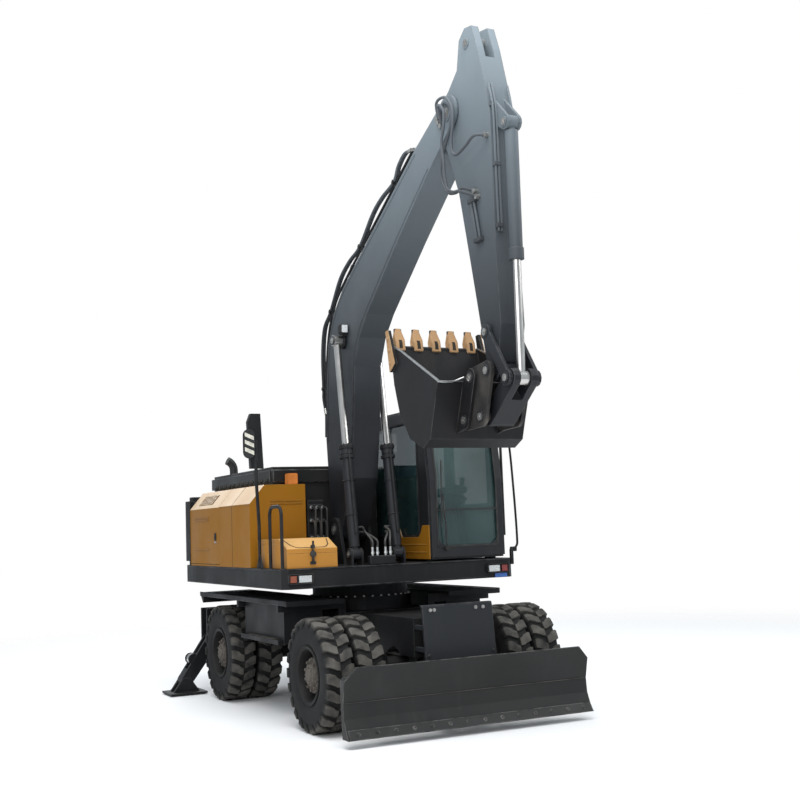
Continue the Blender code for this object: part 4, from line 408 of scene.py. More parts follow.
def repeated(mesh, material, count, step=(0, 0, 0), turn=(0, 0, 0)):
    """A mesh copied count times by the Repeat tree, turned about the origin."""
    mesh.materials.clear()
    mesh.materials.append(material)
    thing = add_thing("repeat", mesh)
    modifier = thing.modifiers.new("Repeat", "NODES")
    modifier.node_group = REPEAT
    for label, value in (("Count", count), ("Step", step), ("Turn", turn), ("Finish", material)):
        modifier[REPEAT_INPUTS[label]] = value
    bpy.context.view_layer.update()
    result = bpy.data.meshes.new_from_object(thing.evaluated_get(bpy.context.evaluated_depsgraph_get()))
    thing.modifiers.clear()
    bpy.data.objects.remove(thing)
    return result


def moved(mesh, offset):
    """The mesh moved by an offset."""
    mesh.transform(Matrix.Translation(offset))
    return mesh


def bolt(place, way, radius, height):
    """A hexagon head on its washer, standing on place and pointing along way."""
    place = Vector(place)
    way = Vector(way)
    return joined([round_bar(place, place + way * height * 0.3, radius * 1.35, 16),
                   round_bar(place + way * height * 0.3, place + way * height, radius, 6)])


zinc = mottled("zinc_plate", (0.45, 0.44, 0.42), 0.35, (40.0,), ((0.30, 0.29, 0.27), (0.55, 0.54, 0.52)),
               (200.0, 0.2, 0.0004), 0.9)
SLEW_Y = 0.15
SLEW_RING_Z = 1.16
SLEW_BOLT_RADIUS = 0.54
SLEW_BOLTS = 36
ring = repeated(bolt((SLEW_BOLT_RADIUS, 0, SLEW_RING_Z), (0, 0, 1), 0.011, 0.014), zinc, SLEW_BOLTS,
                turn=(0, 0, math.tau / SLEW_BOLTS))
piece("slew_bolts", moved(ring, (0, SLEW_Y, 0)), zinc, "chassis")

SIDES = (("right", -1), ("left", 1))
DECK_X = (0.60, 1.22)
DECK_Y = (-0.79, 2.12)
DECK_TOP_Z = 1.185
DECK_MARGIN = 0.06
GRIP_COUNT = 34
GRIP_STEP = 0.075
BAR_WIDTH = 0.012
STEP_X = (1.142, 1.198)
STEP_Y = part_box("side_deck_right")[0][1] - MIDDLE_Y + 0.42
STEP_LENGTH = 0.86
STEP_Z = (0.7905, 0.7945)
STEP_BARS = 12
STEP_BAR_GAP = 0.068
worn_tread = painted("worn_tread", (0.07, 0.066, 0.058), (0.2, 0.19, 0.17), (0.13, 0.12, 0.10), 0.6)
for side, sign in SIDES:
    inner, outer = sorted((sign * DECK_X[0], sign * DECK_X[1]))
    edge_x = sign * DECK_X[1]
    grip_y = DECK_Y[0] + DECK_MARGIN
    grip = block((inner + DECK_MARGIN, grip_y, DECK_TOP_Z - 0.001),
                 (outer - DECK_MARGIN, grip_y + BAR_WIDTH, DECK_TOP_Z + 0.003))
    rim = block((edge_x - 0.006, DECK_Y[0], DECK_TOP_Z - 0.045),
                (edge_x + 0.006, DECK_Y[1], DECK_TOP_Z + 0.006), 0.003)
    piece(f"deck_grip_{side}", joined([repeated(grip, charcoal, GRIP_COUNT, step=(0, GRIP_STEP, 0)), rim]),
          charcoal, "chassis")
    low_x, high_x = sorted((sign * STEP_X[0], sign * STEP_X[1]))
    bar = block((low_x, STEP_Y + 0.03, STEP_Z[1] - 0.001),
                (high_x, STEP_Y + 0.03 + BAR_WIDTH, STEP_Z[1] + 0.004))
    tread = [block((low_x, STEP_Y, STEP_Z[0]), (high_x, STEP_Y + STEP_LENGTH, STEP_Z[1]), 0.003),
             repeated(bar, worn_tread, STEP_BARS, step=(0, STEP_BAR_GAP, 0))]
    piece(f"step_tread_{side}", joined(tread), worn_tread, "chassis")


# Wheels
# Twin tyres on steel rims, with a spacer ring between them and a planetary hub in the outer dish.
# The tread is of slanting shoulder lugs, staggered left and right, dusty on the running surface.

WHEELBASE = 2.70
TYRE_RADIUS = 0.53
TYRE_HALF = 0.135
RIM_RADIUS = 0.254
TYRE_HEIGHT = TYRE_RADIUS - RIM_RADIUS
TYRES_X = (0.80, 1.115)
LUG_COUNT = 22
LUG_SLOPE = 0.07
TREAD_SHARE = 0.93
SIDE_DUST = 0.05
WHEEL_SIDES = 72
WHEELS = (("front_right", -1, -WHEELBASE / 2), ("front_left", 1, -WHEELBASE / 2),
          ("rear_right", -1, WHEELBASE / 2), ("rear_left", 1, WHEELBASE / 2))

carcass_half = [
    # share of the half width, share of the height from rim to tread
    (0.76, 0.0), (0.80, 0.06), (0.90, 0.16), (0.98, 0.34), (1.0, 0.52), (0.985, 0.68), (0.95, 0.80),
    (0.90, 0.87), (0.82, 0.90), (0.4, 0.91),
]
carcass_shares = [(-w, h) for w, h in carcass_half] + carcass_half[::-1]
lug_columns = [
    # across as a share of the half width, start and end as shares of the pitch, top and foot of the height
    (0.04, 0.04, 0.58, 1.0, 0.88), (0.30, 0.06, 0.70, 1.0, 0.88), (0.46, 0.14, 0.86, 1.0, 0.88),
    (0.80, 0.26, 0.98, 1.0, 0.86), (0.99, 0.30, 0.96, 0.96, 0.80), (1.03, 0.34, 0.90, 0.82, 0.70),
]


def turned(profile, centre, sides):
    """A closed profile of (x, radius) turned about the axle through (y, z)."""
    shape = bmesh.new()
    rings = [[shape.verts.new((x, centre[0] + r * math.cos(angle), centre[1] + r * math.sin(angle)))
              for x, r in profile] for angle in (math.tau * i / sides for i in range(sides))]
    for near, far in zip(rings, rings[1:] + rings[:1]):
        for a in range(len(profile)):
            b = (a + 1) % len(profile)
            if profile[a][1] or profile[b][1]:
                shape.faces.new((near[a], near[b], far[b], far[a]))
    bmesh.ops.remove_doubles(shape, verts=shape.verts, dist=MERGE_DISTANCE)
    return mesh_of(shape)


def tyre_lug(mirror, phase):
    """One lug, drawn about the axle at the origin."""
    rows = []
    for across, start, end, top, foot in lug_columns:
        low, high = (RIM_RADIUS + share * TYRE_HEIGHT for share in (foot, top))
        slope = (end - start) * LUG_SLOPE
        row = []
        for share, radius in ((start, low), (start + slope, high), (end - slope, high), (end, low)):
            angle = (share + phase) * math.tau / LUG_COUNT
            row.append((mirror * across * TYRE_HALF, radius * math.sin(angle), radius * math.cos(angle)))
        rows.append(row)
    return loft(rows)


rubber, tree, shader = new_material("dusty_tyre_rubber", (0.022, 0.022, 0.022), 0.8, gloss=0.25)
tread_dust = new_node(tree, "ShaderNodeAttribute", attribute_name="dust").outputs["Fac"]
dusting = combine(tree, "MULTIPLY", tread_dust, noise(tree, 7.0, 0.25, 0.65))
dusting = combine(tree, "MAXIMUM", dusting, combine(tree, "MULTIPLY", noise(tree, 3.0, 0.45, 0.8), 0.12))
tree.links.new(blend_colour(tree, dusting, (0.009, 0.009, 0.0095), (0.10, 0.094, 0.083)),
               shader.inputs["Base Color"])
bumped(tree, shader, noise(tree, 90.0), 0.35, 0.0015)

for name, sign, y in WHEELS:
    parts = []
    for tyre_x in TYRES_X:
        profile = [(sign * tyre_x + w * TYRE_HALF, RIM_RADIUS + h * TYRE_HEIGHT) for w, h in carcass_shares]
        parts.append(turned(profile, (y, TYRE_RADIUS), WHEEL_SIDES))
        for mirror, phase in ((-1, 0.0), (1, 0.5)):
            lugs = repeated(tyre_lug(mirror, phase), rubber, LUG_COUNT, turn=(math.tau / LUG_COUNT, 0, 0))
            parts.append(moved(lugs, (sign * tyre_x, y, TYRE_RADIUS)))
    mesh = joined(parts)
    dust = mesh.attributes.new("dust", "FLOAT", "POINT")
    for vertex, value in zip(mesh.vertices, dust.data):
        radius = math.hypot(vertex.co.y - y, vertex.co.z - TYRE_RADIUS)
        value.value = 1.0 if radius > RIM_RADIUS + TREAD_SHARE * TYRE_HEIGHT else SIDE_DUST
    tyres = piece(f"tyre_pair_{name}", mesh, rubber, f"wheel_{name}")
    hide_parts(f"tyres_{name}")

rim_paint = painted("rim_paint", (0.009, 0.009, 0.0095), (0.10, 0.10, 0.095), (0.08, 0.072, 0.06), 0.55,
                    dust_share=0.25, edge=0.004)
hub_paint = painted("hub_paint", (0.085, 0.074, 0.064), (0.22, 0.20, 0.18), (0.17, 0.15, 0.125), 0.6,
                    dust_share=0.6, edge=0.004)
RIM_BORE = 0.236
DISC_X = 0.9575
HUB_FACE_X = 1.188
HUB_COVER_X = 1.222
HUB_END_X = 1.236
NUT_COUNT = 10
NUT_RADIUS = 0.136
COVER_BOLTS = 8
COVER_BOLT_RADIUS = 0.079
rim_profile = [
    # x from the machine's middle, radius
    (0.725, 0.0), (0.725, 0.17), (DISC_X - 0.02, 0.17), (DISC_X - 0.02, RIM_BORE), (0.675, RIM_BORE),
    (0.671, 0.266), (0.678, 0.276), (0.690, 0.274), (0.694, 0.256),
    (0.90, 0.256), (0.935, 0.298), (0.98, 0.298), (1.015, 0.256),
    (1.221, 0.256), (1.225, 0.274), (1.238, 0.276), (1.244, 0.266),
    (1.236, 0.244), (1.20, 0.232), (1.10, 0.230), (1.03, 0.224), (DISC_X + 0.02, 0.214),
]
hub_profile = [
    (DISC_X + 0.015, 0.178), (1.05, 0.172), (1.170, 0.168), (HUB_FACE_X, 0.160), (HUB_FACE_X, 0.112),
    (1.205, 0.104), (HUB_COVER_X, 0.096), (HUB_COVER_X, 0.062), (HUB_END_X, 0.054), (HUB_END_X, 0.0),
]
for name, sign, y in WHEELS:
    rim_line = [*rim_profile, hub_profile[0], (DISC_X + 0.015, 0.0)]
    hub_line = [(DISC_X + 0.016, 0.0), *hub_profile]
    rim, hub = [turned([(sign * x, r) for x, r in line], (y, TYRE_RADIUS), sides)
                for line, sides in ((rim_line, WHEEL_SIDES), (hub_line, 48))]
    rims = piece(f"rim_pair_{name}", rim, rim_paint, f"wheel_{name}")
    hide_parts(f"rims_{name}")
    heads = [moved(repeated(bolt((sign * x, 0, out), (sign, 0, 0), size, height), hub_paint, count,
                            turn=(math.tau / count, 0, 0)), (0, y, TYRE_RADIUS))
             for x, out, size, height, count in ((HUB_FACE_X, NUT_RADIUS, 0.014, 0.026, NUT_COUNT),
                                                 (HUB_COVER_X, COVER_BOLT_RADIUS, 0.008, 0.010, COVER_BOLTS))]
    piece(f"hub_{name}", joined([hub, *heads]), hub_paint, f"wheel_{name}")


# Front cover and dozer blade
# A flat grey plate leans between the front wheels, and the blade hangs before it on two arms.
# The blade's face is scoured by soil; a bolted cutting edge runs along its foot.

blade_paint = painted("blade_paint", (0.007, 0.0075, 0.0072), (0.24, 0.23, 0.21), (0.060, 0.062, 0.058), 0.42,
                      dust_share=0.25, edge=0.012, edge_share=0.9, gloss=0.35)
cover_paint = painted("cover_paint", (0.018, 0.020, 0.023), (0.20, 0.20, 0.20), ROAD_DUST, 0.5,
                      dust_share=0.1)
dress(blade_paint, "blade")
dress(cover_paint, "front_cover")
dress(charcoal, "blade_ram_barrel")

BLADE_HALF_WIDTH = 1.265
BLADE_FOOT_Y = -2.336
BEND_Y = (-2.2415, -2.2385)
BEND_Z = (0.3765, 0.3835)
BEND_HALF = 1.23
EDGE_BOLTS = 14
EDGE_MARGIN = 0.1
EDGE_STEP = 2 * (BLADE_HALF_WIDTH - EDGE_MARGIN) / (EDGE_BOLTS - 1)
EDGE_BOLT_WAY = (0, -0.83, 0.56)
edge_section = [(BLADE_FOOT_Y, 0.076), (BLADE_FOOT_Y + 0.05, 0.15), (BLADE_FOOT_Y + 0.042, 0.16),
                (BLADE_FOOT_Y - 0.014, 0.08)]
edge = bevelled(prism(edge_section, -BLADE_HALF_WIDTH + 0.01, BLADE_HALF_WIDTH - 0.01), 0.002)
edge_bolt = bolt((-BLADE_HALF_WIDTH + EDGE_MARGIN, BLADE_FOOT_Y + 0.014, 0.122), EDGE_BOLT_WAY, 0.014, 0.008)
edge_bolts = repeated(edge_bolt, zinc, EDGE_BOLTS, step=(EDGE_STEP, 0, 0))
piece("blade_edge", joined([edge, edge_bolts]), blade_paint, "blade")
bend_line = block((-BEND_HALF, BEND_Y[0], BEND_Z[0]), (BEND_HALF, BEND_Y[1], BEND_Z[1]))
piece("blade_bend_line", bend_line, worn_steel, "blade")

COVER_HALF = 0.37
COVER_TOP_Z = 1.14
FOLD_Y = (-2.048, -2.0)
FOLD_Z = (COVER_TOP_Z - 0.004, COVER_TOP_Z + 0.012)
COVER_WAY = (0, -1, 0.1)
side_bolts = [bolt((x, -2.097, 0.70), COVER_WAY, 0.012, 0.012)
              for x in (-COVER_HALF + 0.03, COVER_HALF - 0.03)]
top_bolts = [bolt((x, -2.0545, 1.105), COVER_WAY, 0.013, 0.014) for x in (-0.29, -0.25, 0.19, 0.27)]
piece("cover_top_bolts", joined(top_bolts), zinc, "chassis")
fold = block((-COVER_HALF, FOLD_Y[0], FOLD_Z[0]), (COVER_HALF, FOLD_Y[1], FOLD_Z[1]), 0.003)
piece("cover_bolts", joined([*side_bolts, fold]), cover_paint, "chassis")


# Outriggers and their rams
# Plate legs with a ram between their two cheeks, each on a wide foot pad with a raised rim.
# The rods of all rams are hard chrome, lightly streaked.

dress(charcoal, "outrigger_right", "outrigger_left", "outrigger_ram_right_barrel",
      "outrigger_ram_left_barrel")
chrome = mottled("ram_chrome", (0.50, 0.49, 0.47), 0.3, (3.0,), ((0.46, 0.45, 0.43), (0.56, 0.55, 0.53)),
                 metallic=1.0)
tree = chrome.node_tree
streaks = spread(tree, noise(tree, 6.0), 0, 1, 0.26, 0.36)
tree.links.new(streaks, tree.nodes["Principled BSDF"].inputs["Roughness"])
dress(chrome, "blade_ram_rod", "outrigger_ram_right_rod", "outrigger_ram_left_rod", "boom_ram_right_rod",
      "boom_ram_left_rod", "arm_ram_rod", "bucket_ram_rod")


# Upper frame, counterweight and hood
# Thick plate skirts round the floor, lamps on the front corners and a blank blue plate under the left ones.
# The counterweight is cast, and the hood is pressed sheet with knurled knobs along its edge.

cast_paint = painted("cast_counterweight", (0.010, 0.0105, 0.012), (0.12, 0.12, 0.12), ROAD_DUST, 0.5,
                     edge=0.012)
hood_paint = painted("hood_paint", (0.008, 0.0085, 0.009), (0.22, 0.22, 0.22), ROAD_DUST, 0.36, edge=0.014,
                     edge_share=0.9, gloss=0.35)
dress(charcoal, "upper_frame")
dress(cast_paint, "counterweight")
dress(hood_paint, "engine_hood")
trim_rubber = mottled("trim_rubber", (0.012, 0.012, 0.012), 0.7, (8.0, 0.4),
                      ((0.010, 0.010, 0.010), (0.035, 0.033, 0.03)), (400.0, 0.2, 0.0004))
dark_plastic = mottled("moulded_plastic", (0.02, 0.02, 0.021), 0.55, (9.0, 0.4),
                       ((0.012, 0.012, 0.013), (0.03, 0.03, 0.03)), (350.0, 0.25, 0.0005), gloss=0.3)
plate_blue = mottled("blank_blue_plate", (0.03, 0.12, 0.42), 0.4, (20.0, 0.4),
                     ((0.03, 0.12, 0.42), (0.06, 0.16, 0.44)), (200.0, 0.1, 0.0003))
service_orange = mottled("service_box_orange", (0.58, 0.19, 0.035), 0.45, (12.0, 0.4),
                         ((0.58, 0.19, 0.035), (0.42, 0.14, 0.03)), (200.0, 0.15, 0.0004), gloss=0.3)

UPPER_RIGHT_X = -1.33
UPPER_LEFT_X = 1.27
UPPER_FRONT_Y = -1.02
UPPER_REAR_Y = 2.27
LAMP_FACE_Y = -1.04
LENS_Z = (1.372, 1.448)
BEZEL_Z = (1.362, 1.452)
BEZEL_WIDTH = 0.008
RIB_STRETCH = (1, 0.2, 4)
LIPS_Z = (1.316, 1.494)
LIP_HEIGHT = 0.012
lamp_lenses = [
    # name, low x, high x, colour
    ("lamp_amber_right", -1.272, -1.196, (0.33, 0.075, 0.03)),
    ("lamp_clear_right", -1.180, -1.040, (0.72, 0.74, 0.74)),
    ("lamp_clear_left", 0.948, 1.088, (0.78, 0.80, 0.80)),
    ("lamp_red_left", 1.104, 1.182, (0.28, 0.03, 0.025)),
]
for name, low_x, high_x, colour in lamp_lenses:
    lens = mottled(f"{name}_lens", colour, 0.12, (60.0, 0.3, 0.7, RIB_STRETCH),
                   (colour, tuple(c * 0.35 for c in colour)), (60.0, 0.4, 0.002, RIB_STRETCH),
                   more={"Coat Weight": 0.6})
    glass = block((low_x, LAMP_FACE_Y - 0.008, LENS_Z[0]), (high_x, LAMP_FACE_Y + 0.004, LENS_Z[1]), 0.006)
    piece(name, glass, lens, "upper")

bezels = []
for low_x, high_x in ((-1.284, -1.026), (0.936, 1.194)):
    bars = [(low_x, high_x, z, z + BEZEL_WIDTH) for z in BEZEL_Z]
    bars += [(x, x + BEZEL_WIDTH, BEZEL_Z[0], BEZEL_Z[1] + BEZEL_WIDTH)
             for x in (low_x, high_x - BEZEL_WIDTH)]
    bezels += [block((left, LAMP_FACE_Y - 0.012, low), (right, UPPER_FRONT_Y - 0.002, high), 0.002)
               for left, right, low, high in bars]
lips = []
for z in LIPS_Z:
    lips.append(block((UPPER_RIGHT_X + 0.06, UPPER_FRONT_Y - 0.006, z),
                      (UPPER_LEFT_X - 0.06, UPPER_FRONT_Y + 0.004, z + LIP_HEIGHT), 0.003))
    for x in (UPPER_RIGHT_X - 0.006, UPPER_LEFT_X - 0.004):
        lips.append(block((x, UPPER_FRONT_Y + 0.06, z), (x + 0.010, UPPER_REAR_Y, z + LIP_HEIGHT), 0.003))
piece("skirt_lips", joined(lips), charcoal, "upper")
piece("lamp_bezels", joined(bezels), trim_rubber, "upper")
piece("blank_plate", block((1.03, UPPER_FRONT_Y - 0.010, 1.316), (1.18, UPPER_FRONT_Y - 0.002, 1.358), 0.002),
      plate_blue, "upper")

KNOB_Z = 2.42
KNOB_STEP = 0.16
HOOD_TOP_Z = 2.566
knobs = []
for x, way, start_y, count in ((-1.02, -1, 0.24, 12), (1.02, 1, 0.92, 8)):
    knob = joined([round_bar((x + way * low, start_y, KNOB_Z), (x + way * high, start_y, KNOB_Z), radius, 14)
                   for low, high, radius in ((-0.004, 0.018, 0.026), (0.018, 0.03, 0.018))])
    knobs.append(repeated(knob, trim_rubber, count, step=(0, KNOB_STEP, 0)))
piece("hood_knobs", joined(knobs), trim_rubber, "upper")
hood_ribs = repeated(block((-0.86, 0.28, HOOD_TOP_Z), (0.16, 0.31, HOOD_TOP_Z + 0.012), 0.004), hood_paint, 5,
                     step=(0, 0.09, 0))
grille = repeated(block((-0.80, 0.95, HOOD_TOP_Z), (0.80, 0.966, HOOD_TOP_Z + 0.010), 0.002), hood_paint, 26,
                  step=(0, 0.034, 0))
piece("hood_ribs", joined([hood_ribs, grille]), hood_paint, "upper")
piece("service_box", block((-0.87, -0.02, 2.3705), (-0.76, 0.09, 2.49), 0.008), service_orange, "upper")


# Right and left housings, engine door and toolbox
# Pressed sheet in ochre paint with a painted highlight on its upward slopes, with folded seams, raised ribs,
# a louvre and black latches.
# The toolbox has a lid with a pressed line round its sloping front, drawn dark with painted shade, held by a
# rubber catch.

OCHRE = (0.270, 0.115, 0.009)
# painted highlight: upward slopes of the housings and door turn towards a pale cream
ochre = painted("ochre_paint", OCHRE, (0.52, 0.30, 0.10), (0.25, 0.115, 0.02), 0.38, dust_share=0.25,
                edge=0.010, edge_share=0.3, gloss=0.12, painted_highlight=(0.86, 0.70, 0.52))
# painted highlight: the toolbox's upward slopes turn towards a paler ochre
toolbox_paint = painted("toolbox_paint", (0.40, 0.175, 0.024), (0.68, 0.45, 0.18), (0.38, 0.20, 0.06), 0.34,
                        dust_share=0.25, edge=0.012, edge_share=0.35, gloss=0.3, painted_highlight=(0.62, 0.38, 0.14))
dress(ochre, "housing_right", "housing_left", "engine_door")
dress(toolbox_paint, "toolbox", "toolbox_lid")
# painted shade in seams, grooves, the louvre and tooth pockets; also the monitor's dark screen
shade_and_screen_black = mottled("seam_shadow", (0.012, 0.010, 0.008), 0.9, (20.0, 0.4),
                     ((0.010, 0.008, 0.006), (0.03, 0.022, 0.012)), (300.0, 0.1, 0.0003))
bright_steel = mottled("bright_fittings", (0.55, 0.55, 0.54), 0.28, (30.0,),
                       ((0.42, 0.42, 0.41), (0.66, 0.66, 0.65)), (150.0, 0.15, 0.0003), 1.0)

FLOOR_Z = 1.51
SHOULDER_Z = 2.17
HOUSING_TOP_Z = 2.37
SLOPE = 0.17
SEAM = 0.006
SEAM_RISE = 0.0012
SEAL_Y = (2.121, 2.150)
DOOR_RIBS = ((2.06, 0.012), (2.03, 0.012), (1.69, 0.016))
DOOR_RIB_Y = (1.36, 1.92)


def side_strip(x, way, low_y, high_y, low_z, high_z, rise):
    """A strip that stands a little proud of a side panel."""
    low_x, high_x = sorted((x - way * 0.004, x + way * rise))
    return block((low_x, low_y, low_z), (high_x, high_y, high_z), min(rise, 0.003) if rise > 0.002 else 0)


# the housing seams are dark strips of painted shade
seams = []
for x, way, low_y in ((UPPER_RIGHT_X, -1, 0.52), (UPPER_LEFT_X, 1, 1.45)):
    seams.append(side_strip(x, way, low_y, low_y + SEAM, FLOOR_Z + 0.004, SHOULDER_Z, SEAM_RISE))
    outline = [(x + way * SEAM_RISE, SHOULDER_Z), (x - way * (SLOPE - SEAM_RISE), HOUSING_TOP_Z + SEAM_RISE),
               (x - way * (SLOPE + 0.002), HOUSING_TOP_Z - 0.004), (x - way * 0.004, SHOULDER_Z - 0.002)]
    seams.append(prism(outline, low_y, low_y + SEAM, "Y"))
piece("housing_seams", joined(seams), shade_and_screen_black, "upper")
folds = [((UPPER_RIGHT_X - 0.003, -0.06, SHOULDER_Z - 0.006),
          (UPPER_RIGHT_X + 0.01, 0.97, SHOULDER_Z + 0.004), 0.002)]
folds += [((-1.10, -0.076, z), (-0.74, -0.068, z + 0.012), 0.003) for z in (2.16, 2.19)]
piece("housing_folds", boxes(*folds), ochre, "upper")
ribs = [side_strip(UPPER_RIGHT_X, -1, *DOOR_RIB_Y, z, z + tall, 0.008) for z, tall in DOOR_RIBS]
piece("door_ribs", joined(ribs), ochre, "engine_door")

LOUVRE_Y = (1.32, 1.86)
LOUVRE_LENGTH = 0.14
SLAT = (0.004, 0.014, 0.006)
SLAT_COUNT = 7
SLAT_STEP = 0.0195
slope_way = Vector((SLOPE, 0, HOUSING_TOP_Z - SHOULDER_Z)).normalized()
slope_out = Vector((-slope_way.z, 0, slope_way.x))
louvre_foot = Vector((UPPER_RIGHT_X, 0, SHOULDER_Z)) + slope_way * 0.055


def slope_block(low, high, rise, y_low, y_high):
    """A bar lying on the sloping shoulder, from low to high up the slope."""
    corners = [louvre_foot + slope_way * along + slope_out * out
               for along, out in ((low, -0.004), (high, -0.004), (high, rise), (low, rise))]
    return loft([[(corner.x, y, corner.z) for corner in corners] for y in (y_low, y_high)])


slats = repeated(slope_block(*SLAT, LOUVRE_Y[0] + 0.01, LOUVRE_Y[1] - 0.01), ochre, SLAT_COUNT,
                 step=tuple(slope_way * SLAT_STEP))
piece("louvre_slats", slats, ochre, "engine_door")
# painted shade: a dark plate stands in for the shadow behind the slats
louvre_painted_shade = slope_block(0, LOUVRE_LENGTH, 0.0015, *LOUVRE_Y)
piece("louvre_painted_shade", louvre_painted_shade, shade_and_screen_black, "engine_door")

latch_case, latch_button, keeper = [
    block((UPPER_RIGHT_X - rise, low_y, low_z), (UPPER_RIGHT_X + 0.004, high_y, high_z), edge)
    for rise, low_y, high_y, low_z, high_z, edge in (
        (0.012, 1.09, 1.145, 1.80, 1.885, 0.006), (0.018, 1.105, 1.13, 1.82, 1.845, 0.004),
        (0.008, 1.08, 1.155, 1.772, 1.79, 0.003))]
piece("door_latch", joined([latch_case, latch_button]), trim_rubber, "engine_door")
piece("door_latch_keeper", keeper, bright_steel, "engine_door")
seals = [side_strip(x, way, *SEAL_Y, FLOOR_Z, SHOULDER_Z + 0.1, 0.010)
         for x, way in ((UPPER_RIGHT_X, -1), (UPPER_LEFT_X, 1))]
piece("weight_seals", joined(seals), trim_rubber, "upper")

LID_FRONT_Y = -0.98
LID_LIP_Z = 1.70
LID_TOP_Z = 1.80
LID_BEND_Y = -0.76
GROOVE_WIDTH = 0.010
GROOVE_RISE = (-0.002, 0.002)
lid_slope = Vector((0, LID_BEND_Y - LID_FRONT_Y, LID_TOP_Z - LID_LIP_Z)).normalized()
lid_out = Vector((0, -lid_slope.z, lid_slope.y))


def lid_line(start, end):
    """A groove line on the lid's sloping front, from and to (x, distance up the slope)."""
    a = Vector(start)
    b = Vector(end)
    across = (b - a).normalized().orthogonal() * GROOVE_WIDTH / 2
    return loft([[Vector((x, LID_FRONT_Y, LID_LIP_Z)) + lid_slope * along + lid_out * out
                  for x, along in (a - across, b - across, b + across, a + across)] for out in GROOVE_RISE])


lid_points = [(-1.235, 0.215), (-1.205, 0.09), (-1.165, 0.035), (-1.13, 0.022), (-0.88, 0.022),
              (-0.845, 0.035), (-0.805, 0.09), (-0.775, 0.215)]
# painted shade: the pressed line is drawn as dark strips
piece("lid_grooves", joined([lid_line(a, b) for a, b in zip(lid_points, lid_points[1:])]), shade_and_screen_black,
      "toolbox_lid")
CATCH_X = -1.002
CATCH_Z = 1.645


def catch_box(half, front, back, low_z, high_z, edge):
    """A box of the toolbox's catch, its front and back given from the lid's front."""
    return block((CATCH_X - half, LID_FRONT_Y + front, low_z),
                 (CATCH_X + half, LID_FRONT_Y + back, high_z), edge)


catch = [catch_box(0.030, -0.014, 0.002, 1.545, 1.575, 0.004),
         catch_box(0.010, -0.022, 0.002, 1.56, 1.69, 0.004),
         round_bar((CATCH_X, LID_FRONT_Y - 0.024, CATCH_Z),
                   (CATCH_X, LID_FRONT_Y + 0.002, CATCH_Z), 0.030, 18)]
piece("toolbox_catch", joined(catch), trim_rubber, "upper")
hook = [catch_box(0.020, -0.024, 0.01, 1.70, 1.735, 0.005),
        catch_box(0.008, -0.030, -0.004, 1.72, 1.775, 0.004)]
piece("toolbox_hook", joined(hook), trim_rubber, "toolbox_lid")


# Mirror
# A cranked steel pole with a moulded housing, a silvered glass behind and a small striped marker in front.
# The glass faces the cab; the marker hangs from a bent rod beside the housing.

dress(charcoal, "mirror_right")
MIRROR_X = -1.373
MIRROR_FRONT_Y = -0.43
MIRROR_LOW_Z = 2.52
MIRROR_HEIGHT = 0.56
MIRROR_WIDTH = 0.16
glass_shares = [(-0.28, 0.05), (0.40, 0.05), (0.26, 0.95), (-0.22, 0.95), (-0.40, 0.82)]
silver = mottled("mirror_silver", (0.75, 0.77, 0.78), 0.08, (4.0,), ((0.70, 0.72, 0.73), (0.80, 0.82, 0.83)),
                 metallic=1.0)
glass = prism([(MIRROR_X + w * MIRROR_WIDTH, MIRROR_LOW_Z + h * MIRROR_HEIGHT) for w, h in glass_shares],
              MIRROR_FRONT_Y + 0.0495, MIRROR_FRONT_Y + 0.054, "Y")
piece("mirror_glass", glass, silver, "upper", smooth=False)

MARKER_X = -1.452
MARKER_LOW_Z = 2.62
MARKER_HALF = 0.062
MARKER_RISE = 0.30
MARKER_FACE_Y = MIRROR_FRONT_Y - 0.042
MARKER_DEPTH = 0.028
STRIPE_COUNT = 3
STRIPE_STEP = 0.075
STRIPE_HALF = 0.048


def tube(points, radius, sides=12, steps=6):
    """A round tube along a smooth curve through the points, with closed ends."""
    places = [Vector(point) for point in points]
    last = len(places) - 1
    way = []
    for i in range(last):
        before, start, end, after = (places[max(0, min(j, last))] for j in range(i - 1, i + 3))
        for t in (k / steps for k in range(steps)):
            way.append(0.5 * (2 * start + (end - before) * t
                              + (2 * before - 5 * start + 4 * end - after) * t * t
                              + (3 * start - before - 3 * end + after) * t ** 3))
    way.append(places[-1])
    side = (way[1] - way[0]).normalized().orthogonal().normalized()
    rings = []
    for i, place in enumerate(way):
        heading = (way[min(i + 1, len(way) - 1)] - way[max(i - 1, 0)]).normalized()
        side = (side - heading * side.dot(heading)).normalized()
        other = heading.cross(side)
        rings.append([place + (side * math.cos(angle) + other * math.sin(angle)) * radius
                      for angle in (math.tau * k / sides for k in range(sides))])
    return loft(rings)


marker_outline = []
for centre_z, start in ((MARKER_LOW_Z + MARKER_RISE - MARKER_HALF, 0), (MARKER_LOW_Z + MARKER_HALF, 180)):
    for angle in (math.radians(start + 180 * k / 8) for k in range(9)):
        marker_outline.append((MARKER_X + MARKER_HALF * math.cos(angle),
                               centre_z + MARKER_HALF * math.sin(angle)))
marker_rod = tube([(MARKER_X, MARKER_FACE_Y + 0.02, 2.70), (MARKER_X + 0.03, MARKER_FACE_Y + 0.05, 2.68),
                   (MIRROR_X, MIRROR_FRONT_Y + 0.01, 2.66)], 0.012)
plate = bevelled(prism(marker_outline, MARKER_FACE_Y, MARKER_FACE_Y + MARKER_DEPTH, "Y"), 0.005)
piece("mirror_marker", joined([plate, marker_rod]), dark_plastic, "upper")
stripe_pale = mottled("stripe_cream", (0.62, 0.60, 0.52), 0.4, (30.0, 0.4),
                      ((0.62, 0.60, 0.52), (0.40, 0.39, 0.34)), (400.0, 0.1, 0.0003))
stripe_outline = [(MARKER_X + way * STRIPE_HALF, MARKER_LOW_Z + rise)
                  for way, rise in ((-1, 0.075), (1, 0.035), (1, 0.075), (-1, 0.115))]
